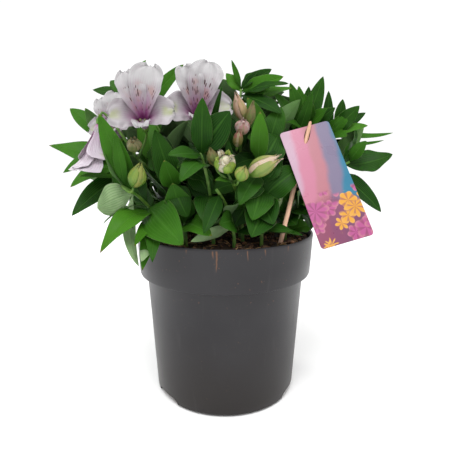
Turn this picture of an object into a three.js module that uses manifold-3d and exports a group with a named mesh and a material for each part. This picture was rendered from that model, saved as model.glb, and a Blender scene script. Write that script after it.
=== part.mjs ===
// A potted peruvian lily in its nursery pot, with a plant label on a wooden stick.
// Millimetres, +Z up. The origin is the middle of the pot's underside, and the front faces -Y.

import * as THREE from "three";
import { mergeVertices } from "three/addons/utils/BufferGeometryUtils.js";
import Module from "manifold-3d";

const wasm = await Module();
wasm.setup();

// Pot
const potHeight = 157;
const rimRadius = 85;
const bandHeight = 39;
const bandFootRadius = 82.9;
const wallTopRadius = 76.3;
const wallFootRadius = 68.8;
const baseRadius = 66.8;
const potWall = 2;
const potFloor = 3;
const potSides = 30;
const drainCount = 3;
const drainWidth = 33;
const drainHeight = 6.2;
const drainDepth = 9;
const drainTurn = 6;

// Soil
const soilLevel = 152;
const soilSides = 18;
const soilRings = [77, 42];
const soilHump = 1.6;
const fitGap = 0.3;

// Stems
const stemRadius = 1.7;
const twigRadius = 1.2;
const twigSides = 4;
const neckLength = 3;
const flowerKnee = 12;
const budKnee = 8;
const stemDepth = 28;
const stemSides = 5;
const stemRise = 4;
const stemRings = [0.28, 0.52, 0.76, 1];
const stemBend = 0.6;
const holeSpare = 0.75;
const footSpacing = 11;

// Leaves
const leafDepths = [1.6, 1.2, 1.1];
const leafSection = [[-1, 0, 0.3], [1, 0, 0.3], [0, 0, -0.7]];
const leafRows = [0.11, 0.42, 0.74];
const rootSink = 0.8;
const testSpare = 0.8;

// Flowers and buds
const tepalRows = [0.2, 0.58, 0.9];
const tepalDepths = [1.8, 1.2, 1];
const tepalSection = [[-1, 0.3, 0], [0, 0, 0.5], [1, 0.3, 0], [0, 0, -0.5]];
const throatDepth = 20;
const ovaryLength = 7;
const ovaryRadius = 2.9;
const ovarySides = 5;
const coreSides = 8;
const budSides = 5;

// Label and its stick
const labelWidth = 45;
const labelHeight = 107;
const labelThickness = 0.8;
const labelCorner = 3;
const labelCentre = [83.5, -54, 207.4];
const labelLean = 26.4;
const labelRoll = 16.4;
const slotDrop = 8.5;
const slotLength = 16;
const slotWidth = 4.6;
const stickRadius = 2;
const stickSides = 8;
const stickTipRadius = 1;
const stickTipLength = 24;
const stickAbove = 12.5;
const stickFoot = [48, -47];
const stickDepth = 50;

const golden = 137.50776;
const degree = Math.PI / 180;
const origin = new THREE.Vector3();
const upright = new THREE.Vector3(0, 0, 1);

// The side that the upper face of a leaf is turned to
const facings = {
  up: [0, 0, 1],
  front: [0, -1, 0.25],
  frontUp: [0, -0.7, 0.7],
  back: [0, 1, 0.15],
  backTurned: [-0.55, 0.8, 0.2],
  left: [-1, -0.3, 0.3],
  leftUp: [-0.6, -0.3, 0.8],
  right: [1, -0.3, 0.3],
};

// Shoots whose leaves are placed one by one. A leaf is the place of its root along the shoot,
// its tip, its width, the side that it faces and how much it arches. "more" is the number of
// leaves that follow the rule for the hidden sides.
const shoots = [
  { name: "shoot_left_low", foot: [-58, -32], top: [-82, -72, 206], more: 0, leaves: [
    [0.85, [-91, -93, 260], 17, "front", 0.05],
    [0.96, [-80, -92, 246], 9, "front", 0.05],
    [0.96, [-91, -84, 232], 7, "left", 0.1],
    [0.85, [-96, -92, 191], 24, "back", 0.2],
    [0.55, [-95, -84, 177], 10, "leftUp", 0.25],
    [0.42, [-96, -92, 156], 19, "frontUp", 0.52],
    [0.4, [-68, -97, 163], 10, "front", 0.1],
    [0.36, [-63, -98, 151], 12, "back", 0.05],
    [0.56, [-31, -99, 164], 31, "front", 0.22],
    [0.12, [-64, -92, 142], 15, "frontUp", 0.5],
    [0.14, [-55, -97, 150], 16, "frontUp", 0.45],
    [0.85, [-66, -94, 146], 11, "backTurned", 0.35],
  ] },
  { name: "shoot_left_mid", foot: [-64, -4], top: [-117, -5, 248], more: 3, leaves: [
    [0.62, [-161, -15, 238], 22, "frontUp", 0.1],
    [0.8, [-142, -35, 214], 17, "frontUp", 0.2],
    [0.7, [-134, -42, 202], 19, "frontUp", 0.25],
    [0.6, [-127, -62, 180], 23, "frontUp", 0.2],
    [0.55, [-123, -52, 212], 13, "frontUp", 0.1],
    [0.95, [-145, 0, 272], 17, "frontUp", 0.1],
  ] },
  { name: "shoot_left_top", foot: [-34, 10], top: [-95, 5, 289], more: 6, leaves: [
    [0.9, [-126, 10, 290], 15, "frontUp", 0.15],
    [1.0, [-73, 5, 316], 7, "front", 0.1],
    [0.95, [-111, 20, 300], 16, "frontUp", 0.1],
    [0.85, [-38, 0, 311], 14, "front", 0.08],
  ] },
  { name: "shoot_centre_left", foot: [-34, -48], top: [-51, -55, 218], more: 2, leaves: [
    [0.25, [-42, -80, 208], 24, "front", 0.15],
    [0.6, [-56, -62, 250], 20, "front", 0.05],
    [0.7, [-48, -70, 226], 16, "front", 0.1],
    [0.75, [-30, -76, 180], 20, "front", 0.3],
    [0.5, [-71, -55, 226], 15, "left", 0.1],
  ] },
  { name: "shoot_centre", foot: [-10, -50], top: [-20, -60, 232], more: 2, leaves: [
    [0.95, [-17, -76, 273], 16, "front", 0.1],
    [1.0, [4, -66, 264], 24, "front", 0.15],
    [0.98, [-43, -84, 230], 15, "frontUp", 0.1],
    [0.9, [-37, -78, 220], 12, "up", 0.3],
    [0.8, [-34, -88, 210], 18, "frontUp", 0.6],
    [0.5, [-15, -88, 178], 22, "front", 0.3],
  ] },
  { name: "shoot_centre_low", foot: [8, -56], top: [-7, -70, 203], more: 0, leaves: [
    [0.9, [-16, -90, 172], 12, "front", 0.15],
    [0.3, [-27, -82, 163], 10, "back", 0.1],
    [0.5, [8, -88, 193], 13, "frontUp", 0.2],
    [0.4, [-5, -78, 176], 20, "front", 0.5],
  ] },
  { name: "shoot_front_right", foot: [32, -46], top: [27, -55, 226], more: 0, leaves: [
    [0.95, [27, -72, 263], 14, "front", 0.1],
    [1.0, [29, -66, 246], 12, "frontUp", 0.1],
    [0.6, [21, -84, 180], 24, "front", 0.3],
    [0.8, [11, -92, 191], 17, "frontUp", 0.3],
    [0.35, [20, -90, 168], 26, "front", 0.3],
    [0.45, [38, -80, 176], 22, "front", 0.3],
    [0.75, [3, -80, 195], 20, "front", 0.25],
    [0.7, [42, -50, 234], 14, "frontUp", 0.2],
  ] },
  { name: "shoot_top", foot: [12, 12], top: [15, 5, 290], more: 3, leaves: [
    [1.0, [30, 2, 306], 11, "frontUp", 0.05],
    [1.0, [43, 0, 307], 12, "front", 0.1],
    [0.98, [53, -8, 299], 14, "front", 0.1],
    [0.96, [57, -14, 292], 13, "frontUp", 0.15],
    [0.95, [50, -25, 265], 17, "frontUp", 0.15],
    [1.0, [6, 5, 316], 5, "front", 0.1],
    [0.98, [1, 10, 305], 11, "front", 0.1],
    [0.9, [38, -5, 288], 12, "front", 0.05],
    [0.9, [62, -2, 290], 14, "frontUp", 0.1],
  ] },
  { name: "shoot_right_top", foot: [40, 4], top: [83, 0, 260], more: 3, leaves: [
    [0.9, [91, 2, 301], 15, "front", 0.03],
    [0.98, [71, -10, 284], 11, "front", 0.1],
    [0.95, [93, -12, 271], 14, "frontUp", 0.1],
    [0.85, [46, 5, 287], 14, "frontUp", 0.2],
    [0.9, [54, -20, 258], 9, "frontUp", 0.2],
    [0.9, [69, 5, 293], 12, "front", 0.05],
    [0.8, [79, -12, 286], 10, "front", 0.05],
    [0.9, [78, 2, 292], 12, "front", 0.05],
    [0.93, [101, -8, 272], 13, "front", 0.05],
    [0.9, [60, 0, 295], 13, "front", 0.1],
  ] },
  { name: "shoot_right", foot: [58, 12], top: [107, 5, 254], more: 3, leaves: [
    [1.0, [111, 5, 281], 10, "front", 0.05],
    [0.97, [124, -5, 274], 14, "front", 0.1],
    [0.95, [135, 10, 269], 10, "front", 0.1],
    [0.9, [112, -12, 246], 16, "frontUp", 0.2],
    [0.8, [98, -14, 252], 16, "frontUp", 0.2],
    [0.9, [117, -2, 268], 10, "front", 0.05],
    [0.85, [103, -16, 264], 12, "frontUp", 0.1],
    [0.8, [92, -4, 270], 12, "front", 0.05],
    [0.95, [133, -5, 256], 12, "frontUp", 0.1],
    [0.98, [161, 5, 250], 7, "frontUp", -0.2],
    [0.9, [151, 0, 243], 6, "frontUp", -0.25],
    [0.9, [98, 8, 289], 10, "front", 0.05],
  ] },
  { name: "shoot_right_far", foot: [68, -6], top: [116, -10, 223], more: 2, leaves: [
    [0.95, [155, -12, 230], 24, "frontUp", -0.15],
    [0.85, [145, -20, 177], 19, "frontUp", 0.15],
    [1.0, [129, -15, 242], 12, "frontUp", 0.2],
  ] },
  { name: "shoot_right_low", foot: [56, -22], top: [68, -25, 198], more: 0, leaves: [
    [0.5, [69, -50, 180], 17, "frontUp", 0.2],
    [0.9, [49, -35, 234], 13, "left", 0.2],
    [0.7, [43, -60, 187], 14, "back", 0.2],
    [0.35, [62, -66, 170], 20, "front", 0.3],
    [0.6, [46, -58, 200], 20, "front", 0.2],
    [0.8, [60, -58, 205], 18, "front", 0.2],
  ] },
  { name: "shoot_mid_right", foot: [34, -20], top: [40, -25, 243], more: 2, leaves: [
    [0.95, [50, -22, 272], 18, "frontUp", 0.2],
    [0.9, [20, -15, 280], 16, "front", 0.1],
    [0.8, [57, -30, 242], 16, "frontUp", 0.2],
    [0.6, [46, -42, 218], 20, "front", 0.2],
    [0.45, [22, -38, 212], 20, "front", 0.2],
  ] },
  { name: "stalk_left", foot: [-40, -12], top: [-76, -36, 226], more: 2, leaves: [
    [0.6, [-77, -20, 234], 15, "front", 0.1],
  ] },
  { name: "stalk_middle", foot: [-16, -8], top: [-18, -22, 238], more: 3, leaves: [
    [0.9, [-2, -62, 283], 6, "front", 0.05],
    [0.7, [-34, 10, 262], 16, "front", 0.1],
  ] },
  { name: "stalk_buds_front", foot: [16, -34], top: [6, -62, 208], more: 1, leaves: [
    [0.95, [-8, -84, 211], 7, "frontUp", 0.2],
    [0.9, [1, -70, 245], 7, "front", 0.1],
  ] },
  { name: "stalk_buds_back", foot: [14, -12], top: [14, -28, 248], more: 1, leaves: [
    [0.8, [24, -10, 276], 9, "front", 0.1],
  ] },
];

// Open flowers: number of tepals, size, how far they open, turn, the middle of the throat and
// the way it faces
const blooms = [
  {
    name: "bloom_left", stalk: "stalk_left", petals: 5, size: 0.78, spread: 1, turn: 10,
    throat: [-99, -24, 255], axis: [-0.2, -0.8, 0.55],
  },
  {
    name: "bloom_nodding", stalk: "stalk_left", petals: 4, size: 1.05, spread: 0.46, turn: 0,
    throat: [-107, -55, 234], axis: [-0.15, -0.25, -0.95],
  },
  {
    name: "bloom_middle", stalk: "stalk_left", petals: 6, size: 1, spread: 1, turn: 1,
    throat: [-66, -62, 262], axis: [0.05, -0.88, 0.45],
  },
  {
    name: "bloom_right", stalk: "stalk_middle", petals: 6, size: 1.06, spread: 1, turn: -1,
    throat: [-23, -40, 268], axis: [0.12, -0.84, 0.5],
  },
];

// Tepals of one flower: turn about the throat, reach outwards, rise along the axis, fall of the
// tip below the straight line, and breadth
const tepals = [
  { turn: 168, reach: 25, rise: 26, fall: 9, width: 25, broadest: 0.74 },
  { turn: 18, reach: 27, rise: 26, fall: 9, width: 25, broadest: 0.74 },
  { turn: 74, reach: 31.5, rise: 40, fall: 0, width: 27, broadest: 0.78 },
  { turn: 112, reach: 29, rise: 38, fall: 0, width: 22, broadest: 0.76 },
  { turn: 270, reach: 14, rise: 28, fall: 0, width: 15, broadest: 0.66 },
  { turn: 97, reach: 33, rise: 30, fall: 0, width: 22, broadest: 0.8 },
];

// Buds: the stalk that holds each, length, radius, where it is seated and the way it points
const buds = [
  { name: "bud_yellow", stalk: "shoot_left_low", length: 19, radius: 6.6,
    seat: [-71, -78, 206], axis: [0.4, -0.25, 1] },
  { name: "bud_brown", stalk: "stalk_left", length: 12, radius: 6,
    seat: [-76, -47, 234], axis: [0.1, -0.6, 0.6] },
  { name: "bud_tan", stalk: "stalk_buds_back", length: 24, radius: 5.4,
    seat: [17, -30, 258], axis: [-0.35, -0.15, 1] },
  { name: "bud_olive", stalk: "stalk_buds_back", length: 20, radius: 4,
    seat: [20, -34, 254], axis: [0.2, -0.1, 1] },
  { name: "bud_pink", stalk: "stalk_buds_back", length: 14, radius: 6,
    seat: [14, -40, 248], axis: [0.1, -0.7, 0.75] },
  { name: "bud_wilted", stalk: "stalk_buds_back", length: 16, radius: 4,
    seat: [10, -48, 237], axis: [0.1, -0.6, 0.8] },
  { name: "bud_olive_small", stalk: "stalk_buds_front", length: 14, radius: 4.6,
    seat: [-8, -62, 222], axis: [-0.3, -0.3, 1] },
  { name: "bud_opening", stalk: "stalk_buds_front", length: 17, radius: 8,
    seat: [1, -66, 220], axis: [-0.08, -0.86, 0.5] },
  { name: "bud_cream", stalk: "stalk_buds_front", length: 27, radius: 7.2,
    seat: [19, -70, 215], axis: [0.95, -0.2, 0.55] },
  { name: "bud_green", stalk: "stalk_buds_front", length: 13, radius: 5.4,
    seat: [11, -76, 211], axis: [0.3, -0.5, 0.75] },
];

// Shoots that fill the middle, the sides and the back by a rule
const fillCount = 20;
const fillReach = 67;
const fillFrontLimit = -14;
const fillTopHeight = 268;
const fillTopFall = 0.0021;
const fillSpread = 1.78;
const fillLeaves = 6;
const shortLeaf = 52;
const leafSpread = 20;
const narrowLeaf = 18;
const widthSpread = 7;
const innerShoot = 60;
const lowestInner = 0.5;
const lowestOuter = 0.02;
const crownHeight = 303;
const crownFall = 0.0014;
const tipCeiling = 304;
const tipFall = 0.0018;
const fillSeed = 20;

// Low leaves of the shoots at the front and the sides
const lowLeaves = 3;
const lowBackLimit = 14;
const lowestLow = 0.1;
const highestLow = 0.55;
const shortLow = 38;
const lowSpread = 14;
const narrowLow = 17;
const lowFloor = 160;
const lowReach = 92;

function vector(list) {
  return new THREE.Vector3(list[0], list[1], list[2]);
}

// Even random numbers from a seed
function randomFrom(seed) {
  let state = seed >>> 0;
  return function next() {
    state = (state + 0x6d2b79f5) >>> 0;
    let t = state;
    t = Math.imul(t ^ (t >>> 15), t | 1);
    t = (t ^ (t + Math.imul(t ^ (t >>> 7), t | 61))) >>> 0;
    return ((t ^ (t >>> 14)) >>> 0) / 4294967296;
  };
}

function toSolid(geometry) {
  const plain = geometry.clone();
  plain.deleteAttribute("normal");
  plain.deleteAttribute("uv");
  const merged = mergeVertices(plain, 1e-4);
  return new wasm.Manifold(new wasm.Mesh({
    numProp: 3,
    vertProperties: new Float32Array(merged.attributes.position.array),
    triVerts: new Uint32Array(merged.index.array),
  }));
}

function toGeometry(solid) {
  const mesh = solid.getMesh();
  const geometry = new THREE.BufferGeometry();
  geometry.setAttribute("position", new THREE.BufferAttribute(mesh.vertProperties, 3));
  geometry.setIndex(new THREE.BufferAttribute(mesh.triVerts, 1));
  geometry.computeVertexNormals();
  return geometry;
}

function bezier(start, middle, end, t) {
  const s = 1 - t;
  const point = start.clone().multiplyScalar(s * s);
  return point.addScaledVector(middle, 2 * s * t).addScaledVector(end, t * t);
}

function bezierTangent(start, middle, end, t) {
  const first = middle.clone().sub(start).multiplyScalar(1 - t);
  return first.addScaledVector(end.clone().sub(middle), t).normalize();
}

// Breadth of a leaf along its length, from a stalk-like root to a drawn-out tip
function leafBreadth(u) {
  const swell = Math.sin(Math.PI * Math.pow(u, 0.86));
  return swell * Math.min(1, 0.25 + 2.6 * u);
}

// Breadth of a tepal, from a narrow claw to a round end
function tepalBreadth(u, broadest) {
  if (u < broadest) {
    const rise = u / broadest;
    return 0.2 + 0.8 * rise * rise * (3 - 2 * rise);
  }
  const fall = (u - broadest) / (1 - broadest);
  return Math.sqrt(Math.max(0, 1 - fall * fall * 0.94));
}

// A thin blade along an arched middle line, pointed at its root and its tip
function bladeGeometry(blade, spare = 0) {
  const { start, middle, end, face, width, breadth, rows, section, depths } = blade;
  const chord = end.clone().sub(start).normalize();
  const side = chord.clone().cross(face).normalize();
  const points = [start.clone().addScaledVector(chord, -rootSink)];
  rows.forEach((u, row) => {
    const centre = bezier(start, middle, end, u);
    const along = bezierTangent(start, middle, end, u);
    const normal = side.clone().cross(along).normalize();
    const half = (width * breadth(u) + spare) / 2;
    for (const [across, rise, depth] of section) {
      const point = centre.clone().addScaledVector(side, across * half);
      points.push(point.addScaledVector(normal, rise * half + depth * (depths[row] + spare)));
    }
  });
  points.push(end);
  const count = section.length;
  const last = 1 + count * (rows.length - 1);
  const tip = last + count;
  const faces = [];
  for (let j = 0; j < count; j += 1) {
    const k = (j + 1) % count;
    faces.push([0, 1 + k, 1 + j]);
    for (let row = 1; row < last; row += count) {
      const a = row + j;
      const b = row + k;
      faces.push([a, b, b + count], [a, b + count, a + count]);
    }
    faces.push([last + j, last + k, tip]);
  }
  const geometry = new THREE.BufferGeometry();
  geometry.setFromPoints(points);
  geometry.setIndex(faces.flat());
  return geometry;
}

// A leaf from its root to its tip, arched towards the side that it faces
function leafBlade(root, tip, width, face, arch) {
  const chord = tip.clone().sub(root);
  const length = chord.length();
  chord.normalize();
  const normal = face.clone().addScaledVector(chord, -face.dot(chord)).normalize();
  const middle = root.clone().add(tip).multiplyScalar(0.5).addScaledVector(normal, arch * length);
  return {
    start: root, middle, end: tip, face: normal, width,
    breadth: leafBreadth, rows: leafRows, section: leafSection, depths: leafDepths,
  };
}

// A closed rod through a row of points, with the same number of sides all along
function rodGeometry(middles, radius, sides) {
  const points = [];
  const side = new THREE.Vector3(1, 0, 0);
  middles.forEach((centre, i) => {
    const before = middles[Math.max(0, i - 1)];
    const after = middles[Math.min(middles.length - 1, i + 1)];
    const along = after.clone().sub(before).normalize();
    side.addScaledVector(along, -side.dot(along)).normalize();
    const other = along.clone().cross(side);
    for (let j = 0; j < sides; j += 1) {
      const angle = 2 * Math.PI * j / sides;
      const point = centre.clone().addScaledVector(side, radius * Math.cos(angle));
      points.push(point.addScaledVector(other, radius * Math.sin(angle)));
    }
  });
  const faces = [];
  const last = sides * (middles.length - 1);
  for (let row = 0; row < last; row += sides) {
    for (let j = 0; j < sides; j += 1) {
      const a = row + j;
      const b = row + (j + 1) % sides;
      faces.push([a, b, b + sides], [a, b + sides, a + sides]);
    }
  }
  for (let j = 1; j + 1 < sides; j += 1) {
    faces.push([0, j + 1, j], [last, last + j, last + j + 1]);
  }
  const geometry = new THREE.BufferGeometry();
  geometry.setFromPoints(points);
  geometry.setIndex(faces.flat());
  return geometry;
}

// A point straight above or below the foot of a shoot
function atFoot(stem, height) {
  return new THREE.Vector3(stem.foot[0], stem.foot[1], soilLevel + height);
}

// Middle line of a shoot above the soil
function stemPoint(stem, t) {
  const start = atFoot(stem, 0);
  const middle = atFoot(stem, stemBend * (stem.top[2] - soilLevel));
  return bezier(start, middle, vector(stem.top), t);
}

function stemPoints(stem) {
  return [atFoot(stem, -stemDepth), atFoot(stem, stemRise), ...stemRings.map((t) => stemPoint(stem, t))];
}

// A body of revolution about a slanted line
function turned(profile, sides, foot, axis) {
  const points = profile.map(([radius, height]) => new THREE.Vector2(radius, height));
  const geometry = new THREE.LatheGeometry(points, sides);
  const ownAxis = new THREE.Vector3(0, 1, 0);
  const turn = new THREE.Quaternion().setFromUnitVectors(ownAxis, axis.clone().normalize());
  geometry.applyQuaternion(turn);
  geometry.translate(foot.x, foot.y, foot.z);
  return geometry;
}

// Pieces already placed, which later leaves are bent clear of
const placed = [];

function place(node, geometry, kind = "body") {
  geometry.computeBoundingBox();
  const solid = toSolid(geometry);
  placed.push({ node, kind, solid, box: geometry.boundingBox.clone() });
  return solid;
}

function isClear(node, geometry, ofSisters) {
  geometry.computeBoundingBox();
  const box = geometry.boundingBox;
  const near = placed.filter((piece) => {
    const counts = piece.node !== node || (ofSisters && piece.kind === "leaf");
    return counts && piece.box.intersectsBox(box);
  });
  if (near.length === 0) return true;
  const solid = toSolid(geometry);
  const hit = near.some((piece) => {
    const shared = solid.intersect(piece.solid);
    const touches = !shared.isEmpty();
    shared.delete();
    return touches;
  });
  solid.delete();
  return !hit;
}

function potGeometry() {
  const bandFoot = potHeight - bandHeight;
  const profile = [
    [0, 0],
    [baseRadius, 0],
    [wallFootRadius - 0.3, 1.2],
    [wallFootRadius + 0.2, 3.5],
    [wallTopRadius, bandFoot],
    [bandFootRadius - 1.6, bandFoot + 0.2],
    [bandFootRadius, bandFoot + 2.2],
    [rimRadius, potHeight - 1.2],
    [rimRadius - 1.1, potHeight],
    [rimRadius - potWall - 0.2, potHeight - 0.8],
    [bandFootRadius - potWall, bandFoot + 3],
    [wallTopRadius - potWall, bandFoot + potWall],
    [wallFootRadius - potWall + 0.2, potFloor],
    [0, potFloor],
  ];
  const shell = turned(profile, potSides, origin, upright);
  let pot = toSolid(shell);
  for (let i = 0; i < drainCount; i += 1) {
    const slot = new THREE.BoxGeometry(drainWidth, drainDepth, drainHeight * 2);
    slot.translate(0, wallFootRadius - drainDepth / 2 + 1.2, 0);
    slot.rotateZ((drainTurn + 360 * i / drainCount) * degree);
    pot = pot.subtract(toSolid(slot));
  }
  return toGeometry(pot);
}

// Height of the soil's uneven top
function soilHeight(x, y) {
  const waves = Math.sin(x * 0.11 + 1.3) * Math.cos(y * 0.13) + 0.6 * Math.sin(x * 0.23 - y * 0.19);
  return soilLevel + soilHump * waves;
}

function soilGeometry(stems) {
  const bandFoot = potHeight - bandHeight;
  const profile = [
    [0, potFloor + fitGap],
    [wallFootRadius - potWall - fitGap, potFloor + fitGap],
    [wallTopRadius - potWall - fitGap - 0.1, bandFoot + potWall + fitGap],
    [bandFootRadius - potWall - fitGap - 0.2, bandFoot + 3.4],
    [rimRadius - potWall - 1.4, soilLevel - 4],
    ...soilRings.map((radius) => [radius, soilLevel]),
    [0, soilLevel],
  ];
  const geometry = turned(profile, soilSides, origin, upright);
  const position = geometry.attributes.position;
  for (let i = 0; i < position.count; i += 1) {
    if (position.getZ(i) > soilLevel - 1) {
      position.setZ(i, soilHeight(position.getX(i), position.getY(i)));
    }
  }
  let soil = toSolid(geometry);
  const holeRadius = stemRadius + holeSpare;
  const holeFloor = -fitGap - stemDepth;
  const holeTop = 4 * soilHump;
  const hole = [[0, holeFloor], [holeRadius, holeFloor], [holeRadius, holeTop], [0, holeTop]];
  for (const stem of stems) {
    soil = soil.subtract(toSolid(turned(hole, stemSides, atFoot(stem, 0), upright)));
  }
  const stick = stickLine();
  const slotRadius = stickRadius + 0.5;
  const slotTop = stickDepth + 12;
  const stickHole = [[0, -fitGap], [slotRadius, -fitGap], [slotRadius, slotTop], [0, slotTop]];
  soil = soil.subtract(toSolid(turned(stickHole, stickSides, stick.bottom, stick.axis)));
  return toGeometry(soil);
}

function labelTurn() {
  return new THREE.Euler((90 - labelLean) * degree, 0, labelRoll * degree);
}

function slotCentre() {
  const drop = new THREE.Vector3(0, labelHeight / 2 - slotDrop, 0).applyEuler(labelTurn());
  return vector(labelCentre).add(drop);
}

function stickLine() {
  const foot = new THREE.Vector3(stickFoot[0], stickFoot[1], soilLevel);
  const axis = slotCentre().sub(foot).normalize();
  const bottom = foot.clone().addScaledVector(axis, -stickDepth);
  const top = slotCentre().addScaledVector(axis, stickAbove);
  return { axis, bottom, length: top.distanceTo(bottom) };
}

function stickGeometry() {
  const { axis, bottom, length } = stickLine();
  const profile = [
    [0, 0], [stickRadius * 0.6, 0], [stickRadius, 3], [stickRadius, length - stickTipLength],
    [stickTipRadius + 0.5, length - 5], [stickTipRadius, length], [0, length],
  ];
  return turned(profile, stickSides, bottom, axis);
}

function labelGeometry() {
  const x = labelWidth / 2;
  const y = labelHeight / 2;
  const r = labelCorner;
  const card = new THREE.Shape();
  card.absarc(x - r, y - r, r, 0, Math.PI / 2);
  card.absarc(-x + r, y - r, r, Math.PI / 2, Math.PI);
  card.absarc(-x + r, -y + r, r, Math.PI, 1.5 * Math.PI);
  card.absarc(x - r, -y + r, r, 1.5 * Math.PI, 2 * Math.PI);
  const across = stickLine().axis.clone();
  across.applyQuaternion(new THREE.Quaternion().setFromEuler(labelTurn()).invert());
  const slant = Math.atan2(across.y, across.x);
  const slot = new THREE.Path();
  slot.absellipse(0, y - slotDrop, slotLength / 2, slotWidth / 2, 0, 2 * Math.PI, true, slant);
  card.holes.push(slot);
  const geometry = new THREE.ExtrudeGeometry(card, {
    depth: labelThickness, bevelEnabled: false, curveSegments: 3,
  });
  geometry.translate(0, 0, -labelThickness / 2);
  return geometry;
}

// A frame that looks along a flower's axis, with its upper side towards +Z
function bloomFrame(bloom) {
  const axis = vector(bloom.axis).normalize();
  const upper = new THREE.Vector3(0, 0, 1).addScaledVector(axis, -axis.z).normalize();
  const right = upper.clone().cross(axis);
  const base = vector(bloom.throat).addScaledVector(axis, -throatDepth * bloom.size);
  return { axis, upper, right, base };
}

function tepalBlade(bloom, tepal) {
  const { axis, upper, right, base } = bloomFrame(bloom);
  const angle = (tepal.turn + bloom.turn) * degree;
  const out = right.clone().multiplyScalar(Math.cos(angle)).addScaledVector(upper, Math.sin(angle));
  const size = bloom.size;
  const start = base.clone().addScaledVector(out, 1.6 * size).addScaledVector(axis, 1.5);
  const middle = base.clone().addScaledVector(out, 7 * size * bloom.spread);
  middle.addScaledVector(axis, tepal.rise * 0.86 * size);
  const reach = tepal.reach * size * bloom.spread;
  const end = base.clone().addScaledVector(out, reach).addScaledVector(axis, tepal.rise * size);
  end.addScaledVector(upper, -tepal.fall * size);
  const chord = end.clone().sub(start).normalize();
  const face = axis.clone().addScaledVector(out, -0.6);
  face.addScaledVector(chord, -face.dot(chord)).normalize();
  return {
    start, middle, end, face, width: tepal.width * size, breadth: (u) => tepalBreadth(u, tepal.broadest),
    rows: tepalRows, section: tepalSection, depths: tepalDepths,
  };
}

function bloomSolid(bloom) {
  const { axis, base } = bloomFrame(bloom);
  const core = [[0, 0], [2.4, 0], [3.6, 4], [3, 8], [0, 9]];
  let solid = toSolid(turned(core, coreSides, base, axis));
  for (const tepal of tepals.slice(0, bloom.petals)) {
    solid = solid.add(toSolid(bladeGeometry(tepalBlade(bloom, tepal))));
  }
  return solid;
}

function budGeometry(bud) {
  const { length, radius } = bud;
  const profile = [
    [0, 0], [1.6, 0], [radius * 0.86, length * 0.24], [radius, length * 0.5],
    [radius * 0.7, length * 0.8], [0, length],
  ];
  return turned(profile, budSides, vector(bud.seat), vector(bud.axis));
}

// The short stalk that carries a flower or a bud
function pedicelGeometry(stem, seat, axis, reach) {
  const top = seat.clone().addScaledVector(axis, -fitGap);
  const knee = top.clone().addScaledVector(axis, -reach);
  const neck = top.clone().addScaledVector(axis, -neckLength);
  const start = vector(stem.top);
  return rodGeometry([start, bezier(start, knee, neck, 0.5), neck, top], twigRadius, twigSides);
}

// The green swelling below a flower, with a flat top that the flower stands on
function ovaryGeometry(seat, axis) {
  const profile = [
    [0, 0], [1.2, 0], [ovaryRadius, ovaryLength * 0.5], [2.1, ovaryLength], [0, ovaryLength],
  ];
  return turned(profile, ovarySides, seat.clone().addScaledVector(axis, -ovaryLength - fitGap), axis);
}

// Feet of the filling shoots, spread like seeds and kept clear of the others
function fillShoots(others) {
  const feet = others.map((stem) => stem.foot);
  feet.push(stickFoot);
  const random = randomFrom(fillSeed);
  const list = [];
  for (let i = 0; list.length < fillCount && i < 4 * fillCount; i += 1) {
    const radius = fillReach * Math.sqrt((i + 0.5) / (2 * fillCount));
    const angle = (golden * i + 40) * degree;
    const foot = [radius * Math.cos(angle), radius * Math.sin(angle)];
    const draw = random();
    const crowded = feet.some((other) => {
      return Math.hypot(other[0] - foot[0], other[1] - foot[1]) < footSpacing;
    });
    if (radius > fillReach || foot[1] < fillFrontLimit || crowded) continue;
    feet.push(foot);
    const reach = radius * fillSpread;
    const height = fillTopHeight - fillTopFall * reach * reach - 14 * draw;
    const top = [reach * Math.cos(angle), reach * Math.sin(angle), height];
    const name = `shoot_fill_${String(list.length + 1).padStart(2, "0")}`;
    list.push({ name, foot, top, more: fillLeaves, leaves: [] });
  }
  return list;
}

// Small shifts of a leaf's tip, tried in this order
const nudges = [[0, 0, 0]];
for (const step of [6, 12, 18]) nudges.push([0, step, 0], [0, -step, 0]);
for (const step of [5, 9]) {
  nudges.push([step, 0, 0], [-step, 0, 0], [0, 0, step], [0, 0, -step]);
  nudges.push([step, step, 0], [-step, step, 0], [step, -step, 0], [-step, -step, 0]);
}

function placedLeaf(stem, leaf) {
  const [at, tip, width, facing, arch] = leaf;
  const root = stemPoint(stem, at);
  const face = vector(facings[facing]);
  for (const nudge of nudges) {
    const end = vector(tip).add(vector(nudge));
    const blade = leafBlade(root, end, width, face, arch);
    if (isClear(stem.name, bladeGeometry(blade, testSpare), false)) return bladeGeometry(blade);
  }
  return null;
}

// Turns of a leaf about its shoot, turns up or down and shares of its length, tried in this order
const turns = [];
for (const share of [1, 0.72]) {
  for (const raise of [0, 12, -12, 24]) {
    for (const swing of [0, 16, -16, 32, -32, 50, -50]) turns.push([swing, raise, share]);
  }
}

// The way that a shoot's ruled leaves look, in degrees, and how far they spread to each side
function openSide(stem, distance) {
  const [x, y] = stem.top;
  if (stem.leaves.length > 0) return [Math.atan2(80 + Math.max(0, y), x * 0.7) / degree, 80];
  return [Math.atan2(y, x) / degree, distance < innerShoot ? 180 : 110];
}

// A unit vector from two angles in degrees, about the upright and above the horizontal
function pointing(azimuth, height) {
  const a = azimuth * degree;
  const b = height * degree;
  return new THREE.Vector3(Math.cos(a) * Math.cos(b), Math.sin(a) * Math.cos(b), Math.sin(b));
}

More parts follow.
